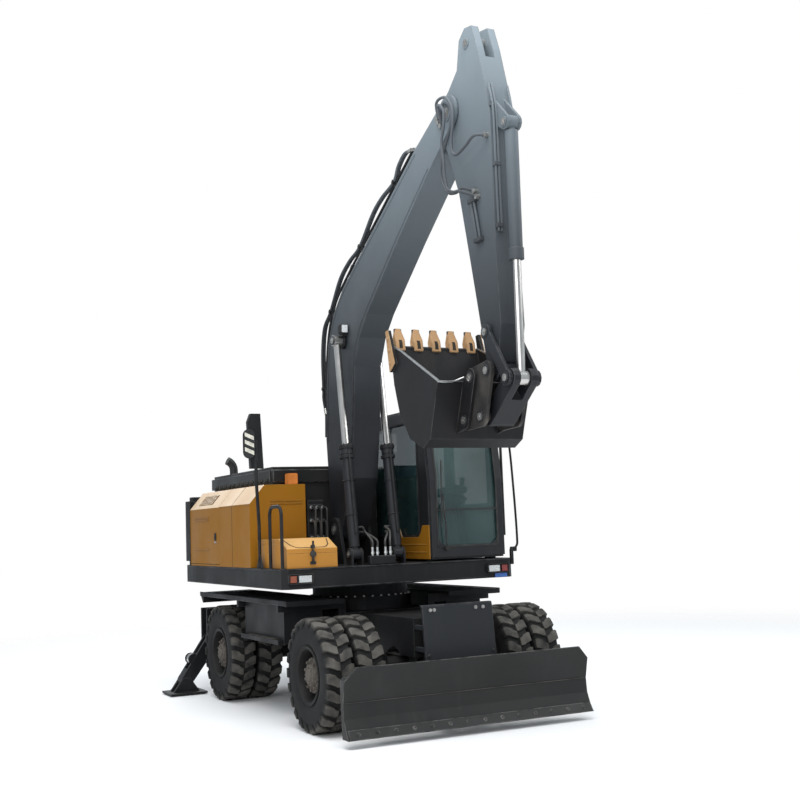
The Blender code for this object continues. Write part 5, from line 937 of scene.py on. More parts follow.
stripes = repeated(prism(stripe_outline, MARKER_FACE_Y - 0.002, MARKER_FACE_Y + 0.003, "Y"), stripe_pale,
                   STRIPE_COUNT, step=(0, 0, STRIPE_STEP))
piece("marker_stripes", stripes, stripe_pale, "upper", smooth=False)


# Cab shell and windows
# A pressed steel shell with rubber-edged glass in rounded corners, and a wiper on the windscreen.
# A bent grab rail stands at the door's front edge, and a yellow panel skirts the right side.

cab_paint = painted("cab_paint", (0.011, 0.012, 0.014), (0.10, 0.10, 0.10), ROAD_DUST, 0.36, dust_share=0.12,
                    edge=0.010, gloss=0.3)
cab_glass = mottled("tinted_glass", (0.10, 0.19, 0.18), 0.04, (2.2, 0.35, 0.65),
                    ((0.020, 0.048, 0.048), (0.050, 0.095, 0.092)),
                    more={"Alpha": 0.56, "Coat Weight": 1.0, "Coat Roughness": 0.02})
dress(cab_paint, "cab_shell", "cab_door")
dress(dark_plastic, "steering_column")
dress(cab_glass, "glass_front", "glass_right", "glass_left", "glass_rear", "glass_door")

CAB_FRONT_Y = -0.99
CAB_KNEE_Z = 2.35
CAB_TOP_Z = 3.12
CAB_LEAN = 0.10
SCREEN_Z = (1.652, 2.988)
WINDOW_X = (0.296, 0.304)
WINDOW_Y = (-0.758, 0.608)
WINDOW_Z = (1.772, 2.988)
GASKET = 0.018
GASKET_HALF = 0.004
CORNER_RADIUS = 0.10
RAIL_RADIUS = 0.012


def front_y(z):
    """Where the cab's front is at a height."""
    return CAB_FRONT_Y + max(0, z - CAB_KNEE_Z) * CAB_LEAN / (CAB_TOP_Z - CAB_KNEE_Z)


def front_bar(x_low, x_high, z_low, z_high):
    """A strip that follows the cab's bent front."""
    heights = [z_low] + ([CAB_KNEE_Z] if z_low < CAB_KNEE_Z < z_high else []) + [z_high]
    outline = [(front_y(z) - GASKET_HALF, z) for z in heights]
    outline += [(front_y(z) + GASKET_HALF, z) for z in reversed(heights)]
    return prism(outline, x_low, x_high)


def corner_fill(place, z, way):
    """The outline that rounds a window's lower corner, from its square corner at (place, z)."""
    steps = [math.radians(90 * k / 8) for k in range(9)]
    return [(place, z)] + [(place + way * CORNER_RADIUS * (1 - math.cos(a)),
                            z + CORNER_RADIUS * (1 - math.sin(a))) for a in steps]


gaskets = [front_bar(*row) for row in (
    (0.382, 0.400, *SCREEN_Z), (1.100, 1.118, *SCREEN_Z), (0.390, 1.110, SCREEN_Z[0], SCREEN_Z[0] + GASKET),
    (0.390, 1.110, SCREEN_Z[1] - GASKET, SCREEN_Z[1]), (0.390, 1.110, 2.030, 2.046))]
for low_y, high_y, low_z, high_z in ((*WINDOW_Y, WINDOW_Z[0], WINDOW_Z[0] + GASKET),
                                     (*WINDOW_Y, WINDOW_Z[1] - GASKET, WINDOW_Z[1]),
                                     (WINDOW_Y[0], WINDOW_Y[0] + GASKET, *WINDOW_Z),
                                     (WINDOW_Y[1] - GASKET, WINDOW_Y[1], *WINDOW_Z),
                                     (-0.075, -0.055, 1.78, 2.98)):
    gaskets.append(block((WINDOW_X[0], low_y, low_z), (WINDOW_X[1], high_y, high_z)))
piece("window_gaskets", joined(gaskets), trim_rubber, "upper")
corners = [prism(corner_fill(x, 1.668, way), CAB_FRONT_Y - 0.003, CAB_FRONT_Y + 0.012, "Y")
           for x, way in ((0.398, 1), (1.102, -1))]
piece("windscreen_corners", joined(corners), cab_paint, "upper")
corners = [prism(corner_fill(y, WINDOW_Z[0] + 0.014, way), 0.297, 0.309)
           for y, way in ((WINDOW_Y[0] + 0.014, 1), (WINDOW_Y[1] - 0.014, -1))]
piece("side_window_corners", joined(corners), cab_paint, "upper")

rail = [tube([(1.195, -0.93, 3.03), (1.275, -0.955, 2.98), (1.318, -0.965, 2.70), (1.345, -0.97, 2.2),
              (1.360, -0.97, 1.75), (1.352, -0.965, 1.635), (1.29, -0.955, 1.60)], RAIL_RADIUS),
        boxes(((1.28, -0.985, 1.575), (1.345, -0.935, 1.625), 0.006),
              ((1.272, -0.98, 1.44), (1.302, -0.94, 1.60), 0.004))]
wiper = [tube([(x, CAB_FRONT_Y + out, z) for x, out, z in run], radius) for run, radius in (
    (((0.48, -0.02, 1.64), (0.47, -0.03, 1.9), (0.455, -0.02, 2.2)), 0.008),
    (((0.43, -0.012, 1.85), (0.445, -0.012, 2.2), (0.46, 0.005, 2.55)), 0.007))]
wiper.append(round_bar((0.48, CAB_FRONT_Y - 0.035, 1.64), (0.48, CAB_FRONT_Y + 0.002, 1.64), 0.022, 16))
skirt_outline = [(-0.985, 1.535), (-0.18, 1.535), (-0.18, 1.70), (-0.26, 1.86), (-0.30, 1.86), (-0.36, 1.765),
                 (-0.74, 1.765), (-0.79, 1.80), (-0.84, 1.885), (-0.985, 1.885)]
skirt_ribs = boxes(*[((0.284, -0.93, z), (0.291, -0.25, z + 0.01), 0.002) for z in (1.60, 1.68)])
skirt_panel = bevelled(prism(skirt_outline, 0.288, 0.2995), 0.002)
piece("cab_grab_rail", joined(rail), charcoal, "upper")
piece("windscreen_wiper", joined(wiper), trim_rubber, "upper")
piece("cab_side_panel", joined([skirt_panel, skirt_ribs]), ochre, "upper")


# Cab inside
# A cushioned seat stands between two armrest consoles with their levers, with a small monitor before it.
# A cooler box and a slatted shelf fill the rear, a console runs along the door, a blue blind hangs right.

CAB_FLOOR_Z = 1.5806
SLAT_STRETCH = (1, 1, 6)
shelf_grey = mottled("shelf_grey", (0.10, 0.13, 0.13), 0.6, (14.0, 0.3, 0.7, SLAT_STRETCH),
                     ((0.07, 0.095, 0.095), (0.14, 0.17, 0.17)))
blind_blue = mottled("blind_blue", (0.02, 0.10, 0.30), 0.5, (14.0, 0.3, 0.7, SLAT_STRETCH),
                     ((0.015, 0.08, 0.26), (0.04, 0.16, 0.38)), (60.0, 0.4, 0.002, (1, 1, 8)))
cooler = boxes(((0.37, 0.50, CAB_FLOOR_Z), (1.13, 0.70, 2.28), 0.02),
               ((0.40, 0.46, 1.62), (1.10, 0.502, 2.20), 0.01))
piece("cab_cooler", cooler, dark_plastic, "upper")
side_console = boxes(((1.095, -0.86, CAB_FLOOR_Z), (1.130, 0.48, 2.10), 0.015),
                     ((1.075, -0.30, 2.06), (1.14, 0.30, 2.115), 0.015))
piece("cab_side_console", side_console, dark_plastic, "upper")
shelf = [block((0.37, 0.60, 2.282), (1.13, 0.66, 2.54), 0.01),
         repeated(block((0.40, 0.594, 2.31), (1.10, 0.602, 2.325), 0.003), shelf_grey, 6, step=(0, 0, 0.038))]
piece("cab_rear_shelf", joined(shelf), shelf_grey, "upper")
monitor_face = block((0.4025, -0.705, 2.295), (0.405, -0.535, 2.445))
piece("monitor_glass", monitor_face, shade_and_screen_black, "upper")

WEAVE = ((1, 1, 1), 1.0)
seat_cloth = mottled("seat_cloth", (0.03, 0.03, 0.033), 0.95, (420.0, 0.3, 0.7, *WEAVE),
                     ((0.018, 0.018, 0.020), (0.05, 0.05, 0.055)), (420.0, 0.6, 0.0015, *WEAVE),
                     more={"Sheen Weight": 0.3})
SEAM_DEPTH = 0.012
SEAM_HALF = 0.06
CROWN = 0.02
SEAT_X = (0.50, 1.00)
BACK_LEAN = math.radians(-7)
BACK_PIVOT = Vector((0, 0.22, 2.0))


def cushion(low, high, channels, axis, way):
    """A crowned pad that bulges along an axis, with sewn channels across it."""
    shape = bmesh.new()
    bmesh.ops.create_cube(shape, size=1)
    bmesh.ops.subdivide_edges(shape, edges=shape.edges, cuts=15, use_grid_fill=True)
    along, across = [i for i in range(3) if i != axis]
    for vertex in shape.verts:
        share = [vertex.co[i] * 2 for i in range(3)]
        outward = max(0, share[axis] * way)
        round_in = 1 - 0.10 * (share[along] ** 4 + share[across] ** 4) * abs(share[axis]) ** 2
        lift = CROWN * (1 - share[along] ** 2) * (1 - share[across] ** 2) * outward
        seam = min(abs(share[along] - c) for c in channels)
        lift -= SEAM_DEPTH * math.exp(-(seam / SEAM_HALF) ** 2) * outward
        place = [(high[i] + low[i]) / 2 + share[i] * (high[i] - low[i]) / 2 * (round_in if i != axis else 1)
                 for i in range(3)]
        place[axis] += way * lift
        vertex.co = place
    return bevelled(mesh_of(shape), 0.012, 2, 50)


seat_base = boxes(((0.62, -0.13, CAB_FLOOR_Z), (0.88, 0.15, 1.91), 0.02),
                  ((0.58, -0.16, 1.86), (0.92, 0.20, 1.912), 0.015))
piece("seat_base", seat_base, dark_plastic, "upper")
seat_mesh = cushion((SEAT_X[0], -0.28, 1.913), (SEAT_X[1], 0.165, 2.035), (-0.55, 0.55), 2, 1)
seat_pad = piece("seat_cushion", seat_mesh, seat_cloth, "upper")
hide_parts("seat")
back_mesh = cushion((SEAT_X[0] + 0.02, 0.17, 2.0), (SEAT_X[1] - 0.02, 0.27, 2.74), (-0.5, 0.5), 1, -1)
back_mesh.transform(Matrix.Translation(BACK_PIVOT) @ Matrix.Rotation(BACK_LEAN, 4, "X")
                    @ Matrix.Translation(-BACK_PIVOT))
seat_back = piece("seat_backrest", back_mesh, seat_cloth, "upper")

consoles = []
for low_x, high_x in ((0.385, 0.475), (1.025, 1.115)):
    middle_x = (low_x + high_x) / 2
    consoles += [boxes(((low_x, -0.32, CAB_FLOOR_Z), (high_x, 0.20, 2.12), 0.02),
                       ((low_x, -0.38, 2.12), (high_x, 0.10, 2.20), 0.025)),
                 tube([(middle_x, -0.30, 2.19), (middle_x, -0.31, 2.26), (middle_x, -0.33, 2.31)], 0.012),
                 bevelled(round_bar((middle_x, -0.328, 2.30), (middle_x, -0.345, 2.40), 0.024, 20, 0.03),
                          0.006)]
consoles += [block((0.372, -0.72, 2.28), (0.402, -0.52, 2.46), 0.008),
             tube([(0.387, -0.62, 1.80), (0.385, -0.62, 2.05), (0.387, -0.62, 2.30)], 0.012)]
piece("consoles", joined(consoles), dark_plastic, "upper")
blind = block((0.362, -0.70, 2.42), (0.372, -0.16, 3.03), 0.003)
piece("sun_blind", blind, blind_blue, "upper")


# Boom, arm and their pins
# Box beams of welded plate, dark below and paler towards the top by a painted haze of the bright sky, with
# weld lines along their seams.
# Each pin ends in a collar, a bright face and a keeper bolt.

# painted haze: the boom, arm, their rams and links pale with height towards a blue-grey
boom_paint = painted("boom_paint", (0.008, 0.009, 0.0115), (0.16, 0.16, 0.17), (0.06, 0.058, 0.056), 0.38,
                     dust_share=0.15, edge=0.014, edge_share=0.4, gloss=0.3, painted_haze=(0.23, 0.275, 0.305))
dress(boom_paint, "boom", "arm", "boom_ram_right_barrel", "boom_ram_left_barrel", "arm_ram_barrel",
      "bucket_ram_barrel", "idler_link", "bucket_link")

BOOM_X = -0.25
BOOM_HALF = 0.15
ARM_HALF = 0.115
BOOM_FOOT = (-0.20, 1.87)
BOOM_TIP = (-2.95, 5.51)
ARM_END = (-3.49, 3.13)
BOOM_RAM_X = 0.235
BOOM_RAM_FOOT = (-0.84, 1.62)
BOOM_RAM_HEAD = (-0.54, 3.85)
BUCKET_PIN_HIGH = (-3.27, 3.10)
BUCKET_PIN_LOW = (-3.14, 2.75)

pin_ends = [
    # body, middle x, half width over the plates, (y, z), radius
    ("boom", BOOM_X, BOOM_HALF, BOOM_TIP, 0.075),
    ("upper", BOOM_X, 0.1835, BOOM_FOOT, 0.070),
    ("upper", BOOM_X - BOOM_RAM_X, 0.0675, BOOM_RAM_FOOT, 0.045),
    ("upper", BOOM_X + BOOM_RAM_X, 0.0675, BOOM_RAM_FOOT, 0.045),
    ("boom", BOOM_X, 0.0675, (-0.62, 4.60), 0.045),
    ("arm", BOOM_X, ARM_HALF, (-3.28, 6.03), 0.048),
    ("arm", BOOM_X, 0.0675, (-3.76, 5.17), 0.045),
    ("idler", BOOM_X, 0.151, (-3.44, 3.46), 0.045),
    ("idler", BOOM_X, 0.151, (-3.73, 3.04), 0.045),
    ("bucket", BOOM_X, 0.187, ARM_END, 0.048),
    ("bucket", BOOM_X, 0.187, (-3.37, 2.76), 0.048),
    ("bucket", BOOM_X, 0.2153, BUCKET_PIN_HIGH, 0.048),
    ("bucket", BOOM_X, 0.2153, BUCKET_PIN_LOW, 0.048),
]


def pin_end(x, way, place, radius):
    """A collar, the pin's bright end in it and a keeper bolt beside it."""
    collar = round_bar((x - way * 0.002, *place), (x + way * 0.008, *place), radius, 28)
    face = round_bar((x, *place), (x + way * 0.013, *place), radius * 0.68, 28)
    keeper = bolt((x + way * 0.012, *place), (way, 0, 0), radius * 0.18, 0.006)
    return collar, [face, keeper]


collars = {}
faces = {}
for body, middle, half, place, radius in pin_ends:
    for way in (-1, 1):
        collar, bright = pin_end(middle + way * half, way, place, radius)
        collars.setdefault(body, []).append(collar)
        faces.setdefault(body, []).extend(bright)
for body in collars:
    piece(f"pin_collars_{body}", joined(collars[body]), boom_paint, body)
    piece(f"pin_faces_{body}", joined(faces[body]), zinc, body)
for side, way in SIDES:
    collar, bright = pin_end(BOOM_X + way * (BOOM_RAM_X + 0.045), way, BOOM_RAM_HEAD, 0.048)
    piece(f"rod_collar_{side}", collar, boom_paint, f"boom_ram_{side}_rod")
    piece(f"rod_pin_{side}", joined(bright), zinc, f"boom_ram_{side}_rod")


# Pipes and hoses on the boom's back
# Steel pipes run up the boom's back in rubber clamps.
# Rubber hoses ride outside them on steel saddles, and bow away from the boom between these.

def between(first, second, shares):
    """Points (y, z) as shares of the way from first to second, and of that way to its left."""
    across = second[0] - first[0]
    up = second[1] - first[1]
    return [(first[0] + s * across - t * up, first[1] + s * up + t * across) for s, t in shares]


def run_at(x, first, second, shares, lift=0.0):
    """Points (x, y, z) at one x, as between gives them, lifted off the line's right side."""
    return [(x, y, z) for y, z in between(first, second, [(s, t - lift) for s, t in shares])]


boom_way = Vector(BOOM_TIP) - Vector(BOOM_FOOT)
boom_turn = Matrix.Rotation(math.atan2(boom_way.y, boom_way.x) - math.pi / 2, 4, "X")


def on_boom(mesh, share):
    """A mesh drawn round the origin for an upright boom, turned and set at its share of the boom."""
    mesh.transform(Matrix.Translation((0, *between(BOOM_FOOT, BOOM_TIP, [share])[0])) @ boom_turn)
    return mesh


PIPE_RADIUS = 0.013
PIPE_LIFT = 0.012
PIPE_OUT = (0.092, 0.132)
CLAMP_X = ((BOOM_X - 0.14, BOOM_X - 0.05), (BOOM_X + 0.05, BOOM_X + 0.14))
HOSE_RADIUS = 0.014
HOSE_BOW = 0.004
SADDLE_OUT = 0.133
SADDLE_HALF = 0.034
boom_back = [(0.142, -0.168), (0.235, -0.227), (0.34, -0.281), (0.412, -0.292), (0.494, -0.274),
             (0.731, -0.167), (0.885, -0.097)]
pipes = [tube(run_at(x, BOOM_FOOT, BOOM_TIP, boom_back, PIPE_LIFT), PIPE_RADIUS, 10)
         for x in (BOOM_X - PIPE_OUT[1], BOOM_X - PIPE_OUT[0], BOOM_X + PIPE_OUT[0], BOOM_X + PIPE_OUT[1])]
clamps = [on_boom(block((low_x, -0.02, -0.042), (high_x, 0.02, 0.022), 0.004), (s, t - PIPE_LIFT * 0.9))
          for s, t in ((0.235, -0.227), (0.412, -0.292), (0.6125, -0.2205), (0.80, -0.1355))
          for low_x, high_x in CLAMP_X]
piece("boom_pipes", joined(pipes), charcoal, "boom")
piece("boom_pipe_clamps", joined(clamps), trim_rubber, "boom")

# painted haze: these hoses and clamps pale with height like the boom
tip_rubber = painted("tip_hose_rubber", (0.010, 0.010, 0.011), (0.03, 0.03, 0.03), (0.05, 0.05, 0.05), 0.5,
                     dust_share=0.1, painted_haze=(0.16, 0.18, 0.20))
saddle_places = [(0.235, -0.250), (0.412, -0.312), (0.6125, -0.240), (0.80, -0.152)]
hose_back = [(0.195, -0.205), (0.215, -0.236), saddle_places[0], (0.30, -0.300), (0.36, -0.325),
             saddle_places[1], (0.50, -0.303), (0.56, -0.276), saddle_places[2], (0.70, -0.216),
             (0.75, -0.190), saddle_places[3], (0.835, -0.150), (0.868, -0.136), (0.885, -0.112)]
back_hoses = []
back_ends = []
for k, x in enumerate((BOOM_X - 0.150, BOOM_X - 0.116, BOOM_X + 0.116, BOOM_X + 0.150)):
    points = run_at(x, BOOM_FOOT, BOOM_TIP, hose_back, HOSE_BOW * (k % 2))
    back_hoses.append(tube(points, HOSE_RADIUS, 10))
    for near, far in ((points[0], points[1]), (points[-1], points[-2])):
        way = (Vector(far) - Vector(near)).normalized()
        back_ends.append(round_bar(Vector(near) - way * 0.02, Vector(near) + way * 0.05, 0.018, 12))
piece("boom_hoses", joined(back_hoses), tip_rubber, "boom")
piece("boom_hose_ends", joined(back_ends), zinc, "boom")
saddles = []
for place in saddle_places:
    for x in (BOOM_X - SADDLE_OUT, BOOM_X + SADDLE_OUT):
        saddle = boxes(((x - SADDLE_HALF, -0.018, -0.02), (x + SADDLE_HALF, 0.020, 0.02), 0.004),
                       ((x - 0.008, -0.125, -0.014), (x + 0.008, -0.01, 0.014), 0.002))
        saddles.append(on_boom(saddle, place))
piece("boom_hose_saddles", joined(saddles), charcoal, "boom")


# Hoses at the boom's tip
# Three hoses on each side loop past the tip pin, from ports on the boom to ports on the arm.
# They are attached to neither body.

LOOP_RADIUS = 0.013
LOOP_OUT = {"boom": 0.150, "arm": 0.125}
PORT_IN = {"boom": 0.140, "arm": 0.110}
PORT_RADIUS = 0.024
tip_loops = [
    # outward from the boom's middle, then (y, z) along the hose
    (0.205, [(-2.80, 5.50), (-2.87, 5.625), (-3.03, 5.62), (-3.145, 5.49), (-3.148, 5.35), (-3.108, 5.21),
             (-3.119, 5.10), (-3.197, 5.05), (-3.357, 5.08), (-3.50, 5.12), (-3.57, 5.11)]),
    (0.176, [(-2.82, 5.46), (-2.936, 5.594), (-3.07, 5.51), (-3.052, 5.356), (-2.953, 5.221), (-2.865, 5.084),
             (-2.852, 4.943), (-2.951, 4.789), (-3.090, 4.740), (-3.222, 4.746), (-3.355, 4.685)]),
    (0.235, [(-2.86, 5.42), (-2.95, 5.565), (-3.045, 5.49), (-3.035, 5.35), (-2.985, 5.22), (-3.01, 5.05),
             (-3.02, 4.90), (-3.06, 4.78), (-3.16, 4.725), (-3.27, 4.70), (-3.39, 4.63)]),
]
loop_ends = {"boom": [], "arm": []}
for side, way in SIDES:
    for k, (out, run) in enumerate(tip_loops):
        outs = [LOOP_OUT["boom"]] + [out] * (len(run) - 2) + [LOOP_OUT["arm"]]
        points = [(BOOM_X + way * away, y, z) for away, (y, z) in zip(outs, run)]
        loop = piece(f"tip_hose_{side}_{k + 1}", tube(points, LOOP_RADIUS, 10), tip_rubber, None)
        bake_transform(loop)
        for body, (x, y, z) in (("boom", points[0]), ("arm", points[-1])):
            loop_ends[body].append(round_bar((BOOM_X + way * PORT_IN[body], y, z), (x + way * 0.03, y, z),
                                             PORT_RADIUS, 12))
for body, ends in loop_ends.items():
    piece(f"tip_hose_ends_{body}", joined(ends), zinc, body)


# Pipes on the arm
# Long pipes run down the arm's front beside the bucket ram, and a short pair on its right side.
# Rubber clamps hold them.

ARM_SIDE_X = BOOM_X - ARM_HALF
arm_front = [(0.04, -0.262), (0.145, -0.261), (0.30, -0.226), (0.45, -0.192), (0.56, -0.168)]
arm_pipes = [tube(run_at(x, BOOM_TIP, ARM_END, arm_front), 0.011, 10)
             for x in (BOOM_X - 0.098, BOOM_X - 0.070, BOOM_X + 0.085)]
arm_pipes += [tube([(ARM_SIDE_X - 0.016, y + side_y, z)
                    for y, z in ((-3.27, 4.62), (-3.31, 4.45), (-3.35, 4.26))], 0.013, 10)
              for side_y in (-0.05, 0.0)]
arm_clamps = [block((BOOM_X - 0.112, y - 0.018, z - 0.018), (BOOM_X - 0.056, y + 0.03, z + 0.018), 0.004)
              for y, z in between(BOOM_TIP, ARM_END, [(0.12, -0.258), (0.33, -0.219), (0.54, -0.172)])]
arm_clamps += [block((ARM_SIDE_X - 0.035, y - 0.06, z - 0.02), (ARM_SIDE_X + 0.004, y + 0.06, z + 0.02),
                     0.004) for z, y in ((4.62, -3.295), (4.26, -3.375))]
piece("arm_pipes", joined(arm_pipes), boom_paint, "arm")
piece("arm_pipe_clamps", joined(arm_clamps), tip_rubber, "arm")


# Boom rams
# Turned bosses carry the rams' upper pin, and each barrel has a bolted gland and a riser pipe.
# Two hoses run to each barrel from a port block on the floor, attached to no body.

BOSS_RADIUS = 0.085
BOSS_BOLT_RADIUS = 0.066
BOSS_BOLTS = 6
GLAND_BOLT_RADIUS = 0.062
GLAND_BOLTS = 8
GLAND_END = 1.123
RISER_OUT = 0.071
RING_OUT = 0.060
PORT_Y = -0.965
PORT_TOP_Z = 1.60
hose_rubber = mottled("hose_rubber", (0.012, 0.012, 0.013), 0.5, (5.0, 0.4),
                      ((0.010, 0.010, 0.011), (0.05, 0.047, 0.042)), (500.0, 0.2, 0.0004))
bosses = []
for way in (-1, 1):
    bosses.append(round_bar((BOOM_X + way * 0.148, *BOOM_RAM_HEAD), (BOOM_X + way * 0.182, *BOOM_RAM_HEAD),
                            BOSS_RADIUS, 32))
    for angle in (math.tau * k / BOSS_BOLTS for k in range(BOSS_BOLTS)):
        place = (BOOM_X + way * 0.180, BOOM_RAM_HEAD[0] + BOSS_BOLT_RADIUS * math.cos(angle),
                 BOOM_RAM_HEAD[1] + BOSS_BOLT_RADIUS * math.sin(angle))
        bosses.append(bolt(place, (way, 0, 0), 0.007, 0.006))
piece("boom_ram_bosses", joined(bosses), charcoal, "boom")
port_block = block((BOOM_X - 0.14, -1.00, 1.5108), (BOOM_X + 0.14, -0.93, PORT_TOP_Z), 0.006)
piece("ram_hose_block", port_block, charcoal, "upper")
ram_way = Vector((0, BOOM_RAM_HEAD[0] - BOOM_RAM_FOOT[0], BOOM_RAM_HEAD[1] - BOOM_RAM_FOOT[1])).normalized()
ram_front = Vector((0, -ram_way.z, ram_way.y))


def on_barrel(way, along, out_x, out_front):
    """A point on one side's boom ram: along it from its foot, then out sideways and to the front."""
    return (Vector((BOOM_X + way * BOOM_RAM_X, *BOOM_RAM_FOOT)) + ram_way * along + Vector((out_x, 0, 0))
            + ram_front * out_front)


def lifted(place, height):
    """A point raised by a height."""
    return place + Vector((0, 0, height))


port_fittings = []
for side, way in SIDES:
    body = f"boom_ram_{side}_barrel"
    gland = [round_bar(on_barrel(way, a, 0, 0), on_barrel(way, b, 0, 0), r, 32)
             for a, b, r in ((0.985, 1.015, 0.074), (1.085, GLAND_END, 0.076))]
    for angle in (math.tau * k / GLAND_BOLTS for k in range(GLAND_BOLTS)):
        spot = on_barrel(way, GLAND_END, GLAND_BOLT_RADIUS * math.cos(angle),
                         GLAND_BOLT_RADIUS * math.sin(angle))
        gland.append(round_bar(spot, spot + ram_way * 0.012, 0.009, 6))
    piece(f"boom_ram_gland_{side}", joined(gland), charcoal, body)
    riser_run = ((0.20, RING_OUT), (0.24, RISER_OUT), (0.5, RISER_OUT), (0.97, RISER_OUT), (1.045, RING_OUT))
    riser = [tube([on_barrel(way, along, 0, out) for along, out in riser_run], 0.011, 10)]
    for along in (0.40, 0.75):
        ring = [on_barrel(way, along, RING_OUT * math.cos(a), RING_OUT * math.sin(a))
                for a in (math.tau * k / 16 for k in range(17))]
        riser.append(tube(ring, 0.006, 8, 2))
    piece(f"boom_ram_pipe_{side}", joined(riser), charcoal, body)
    for k, (port_x, along) in enumerate(((0.045, 0.22), (0.10, 0.27))):
        start = Vector((BOOM_X + way * port_x, PORT_Y, PORT_TOP_Z))
        port_fittings += [round_bar(start, lifted(start, 0.085), 0.014, 14),
                          round_bar(lifted(start, 0.018), lifted(start, 0.04), 0.019, 6)]
        end = on_barrel(way, along, -way * RING_OUT, 0.0)
        points = [lifted(start, 0.08), lifted(start, 0.15), lifted((start + end) / 2, 0.10),
                  end + Vector((-way * 0.05, 0, 0)), end]
        hose = piece(f"ram_hose_{side}_{k + 1}", tube(points, 0.011, 10), hose_rubber, None)
        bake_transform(hose)
piece("ram_hose_fittings", joined(port_fittings), bright_steel, "upper")


# Valve block
# It stands between the toolbox and the boom, with bright fittings in rows on its front.
# Hoses arch from them down to the floor.

VALVE_X = (-0.665, -0.475)
VALVE_FRONT_Y = -0.03
VALVE_LOW_Z = 1.5108
VALVE_ROWS = (1.80, 1.98, 2.12)
BAND_HALF = 0.03
valve = boxes(((VALVE_X[0], VALVE_FRONT_Y, VALVE_LOW_Z), (VALVE_X[1], 0.10, 2.20), 0.01),
              *[((VALVE_X[0] + 0.012, VALVE_FRONT_Y - 0.02, z - BAND_HALF),
                 (VALVE_X[1] - 0.012, VALVE_FRONT_Y + 0.002, z + BAND_HALF), 0.006)
                for z in (1.62, *VALVE_ROWS)])
piece("valve_block", valve, charcoal, "upper")
valve_fittings = []
valve_hoses = []
for x in (-0.635, -0.570, -0.505):
    for row, z in enumerate(VALVE_ROWS):
        port_y = VALVE_FRONT_Y - 0.02
        drop_y = VALVE_FRONT_Y - 0.09 - 0.03 * row
        valve_fittings += [round_bar((x, port_y - near, z), (x, port_y - far, z), radius, sides)
                           for near, far, radius, sides in ((0, 0.04, 0.013, 12), (0.01, 0.022, 0.018, 6))]
        valve_hoses.append(tube([(x, port_y - 0.035, z), (x, drop_y, z - 0.02), (x, drop_y - 0.01, z - 0.12),
                                 (x, drop_y + 0.01, VALVE_LOW_Z)], 0.011, 10))
piece("valve_fittings", joined(valve_fittings), bright_steel, "upper")
piece("valve_hoses", joined(valve_hoses), hose_rubber, "upper")


# Boom welds and work lamp
# A weld bead runs along each edge of the boom's side plates.
# The lamp sits in a moulded case on a bracket on the boom's right side.

WELD_IN = 0.010
WELD_RADIUS = 0.006
boom_front = [(0.148, 0.003), (0.268, -0.057), (0.372, -0.119), (0.439, -0.131), (0.504, -0.122),
              (0.704, -0.065), (0.881, -0.007)]
welds = [tube(run_at(BOOM_X + way * BOOM_HALF, BOOM_FOOT, BOOM_TIP, run, lift), WELD_RADIUS, 6, 4)
         for way in (-1, 1) for run, lift in ((boom_front, WELD_IN), (boom_back, -WELD_IN))]
piece("boom_welds", joined(welds), boom_paint, "boom")

lamp_x = BOOM_X - BOOM_HALF
lamp_y, lamp_z = between(BOOM_FOOT, BOOM_TIP, [(0.42, -0.20)])[0]
work_lamp = boxes(((lamp_x - 0.09, lamp_y - 0.05, lamp_z - 0.04),
                   (lamp_x - 0.01, lamp_y + 0.05, lamp_z + 0.06), 0.012),
                  ((lamp_x - 0.06, lamp_y - 0.02, lamp_z - 0.06),
                   (lamp_x + 0.002, lamp_y + 0.02, lamp_z - 0.03), 0.003))
piece("work_lamp", work_lamp, dark_plastic, "boom")
lens = mottled("work_lamp_lens", (0.7, 0.72, 0.74), 0.15, (70.0,), ((0.75, 0.77, 0.78), (0.45, 0.47, 0.48)),
               (90.0, 0.4, 0.001))
lamp_face = block((lamp_x - 0.082, lamp_y - 0.056, lamp_z - 0.03),
                  (lamp_x - 0.018, lamp_y - 0.046, lamp_z + 0.05), 0.003)
piece("work_lamp_lens", lamp_face, lens, "boom")


# Bucket, its teeth and side cutters
# Welded plate scoured to bare metal along its rims, with bolted side cutters.
# Five cast teeth in ochre primer sit on adapters along the lip, held by pins.

bucket_paint = painted("bucket_paint", (0.010, 0.010, 0.0115), (0.20, 0.19, 0.18), (0.06, 0.054, 0.045), 0.44,
                       dust_share=0.3, edge=0.008, edge_share=0.7)
dress(bucket_paint, "bucket")
tooth_paint = painted("tooth_primer", (0.40, 0.235, 0.11), (0.62, 0.46, 0.30), (0.24, 0.16, 0.10), 0.55,
                      dust_share=0.5, edge=0.006, edge_share=0.5, gloss=0.25)
BUCKET_HALF = 0.46
TOOTH_COUNT = 5
TOOTH_HALF = 0.046
TOOTH_POINT = 0.62
TOOTH_STEP = 2 * BUCKET_HALF / TOOTH_COUNT
first_x = BOOM_X - BUCKET_HALF + TOOTH_STEP / 2
lip, skin_before = between(BUCKET_PIN_HIGH, BUCKET_PIN_LOW, [(-0.122, 2.902), (0.751, 2.407)])
lip_way = (Vector(lip) - Vector(skin_before)).normalized()
lip_side = Vector((-lip_way[1], lip_way[0]))


def on_lip(along, out):
    """A point (y, z) along the lip's way, and out from it."""
    place = Vector(lip) + lip_way * along + lip_side * out
    return (place[0], place[1])


def at_lip(outline, half, edge=0.0):
    """A prism at the first tooth, its outline given along and out from the lip."""
    mesh = prism([on_lip(along, out) for along, out in outline], first_x - half, first_x + half)
    return bevelled(mesh, edge) if edge else mesh


def per_tooth(name, mesh, material):
    """A piece with the mesh repeated at every tooth."""
    piece(name, repeated(mesh, material, TOOTH_COUNT, step=(TOOTH_STEP, 0, 0)), material, "bucket")


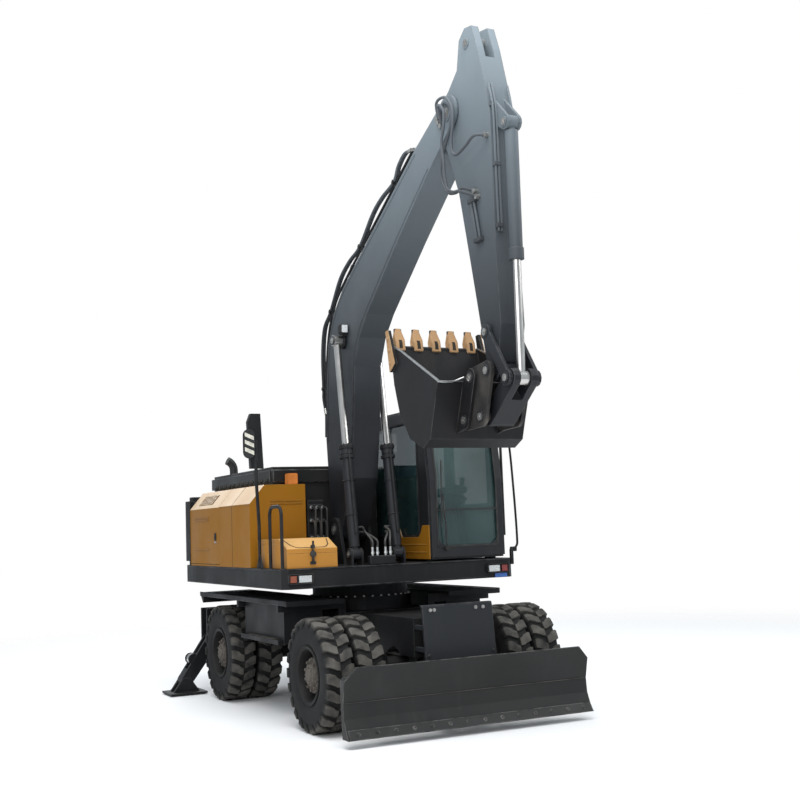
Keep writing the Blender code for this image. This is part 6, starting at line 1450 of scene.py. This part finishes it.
tooth = at_lip([(-0.055, -0.040), (-0.06, 0.040), (0.02, 0.044), (0.05, 0.034), (0.163, 0.012),
                (0.163, -0.012), (0.05, -0.034), (0.02, -0.044)], TOOTH_HALF)
for vertex in tooth.vertices:
    if (Vector((vertex.co.y, vertex.co.z)) - Vector(lip)).dot(lip_way) > 0.1:
        vertex.co.x = first_x + (vertex.co.x - first_x) * TOOTH_POINT
pin = round_bar((first_x - 0.05, *on_lip(0.005, 0)), (first_x + 0.05, *on_lip(0.005, 0)), 0.014, 16)
per_tooth("bucket_teeth", joined([bevelled(tooth, 0.006), pin]), tooth_paint)
# painted shade: dark plates beside each tooth stand in for the shadow in its pockets
pocket_shade_outline = ((-0.035, 0.0400), (-0.035, 0.0432), (0.018, 0.0455), (0.045, 0.0375), (0.045, 0.034),
                  (0.018, 0.041))
pocket_shades = [at_lip([(along, way * out) for along, out in pocket_shade_outline], 0.016) for way in (-1, 1)]
per_tooth("tooth_pocket_shades", joined(pocket_shades), shade_and_screen_black)
adapter = at_lip([(-0.15, -0.020), (-0.15, -0.002), (-0.05, -0.002), (-0.05, -0.034)], 0.035, 0.004)
per_tooth("tooth_adapters", adapter, bucket_paint)

rim_run = [(-0.118, 2.880), (-0.108, 2.40), (-0.098, 2.262), (-0.055, 1.95), (0.03, 1.30), (0.12, 0.62),
           (0.165, 0.285)]
corner_y, corner_z = between(BUCKET_PIN_HIGH, BUCKET_PIN_LOW, [(0.165, 0.262)])[0]
rims_bright = [tube(run_at(BOOM_X + way * (BUCKET_HALF - 0.011), BUCKET_PIN_HIGH, BUCKET_PIN_LOW, rim_run),
                    0.0125, 10) for way in (-1, 1)]
rims_bright += [tube([(BOOM_X + way * (BUCKET_HALF - inward), corner_y + y, corner_z + z)
                      for inward, y, z in ((0, 0, 0), (0.14, 0, 0), (0.245, -0.012, 0.035))], 0.0105, 10)
                for way in (-1, 1)]
piece("bucket_bright_rims", joined(rims_bright), bright_steel, "bucket")
adapter = at_lip([(-0.16, 0.006), (-0.16, 0.016), (-0.05, 0.034), (-0.03, 0.006)], 0.034, 0.004)
per_tooth("inner_adapters", adapter, bucket_paint)
cutter_outline = [on_lip(-0.256, -0.006), on_lip(0.130, -0.006), on_lip(0.130, 0.046), on_lip(-0.208, 0.112)]
cutters = []
for way in (-1, 1):
    side_x = BOOM_X + way * (BUCKET_HALF + 0.025)
    outer_x = side_x + way * 0.006
    cutters.append(bevelled(prism(cutter_outline, *sorted((side_x - way * 0.002, outer_x))), 0.002))
    cutters += [bolt((outer_x, *on_lip(along, 0.03)), (way, 0, 0), 0.013, 0.012)
                for along in (-0.18, -0.06, 0.05)]
piece("side_cutters", joined(cutters), tooth_paint, "bucket")
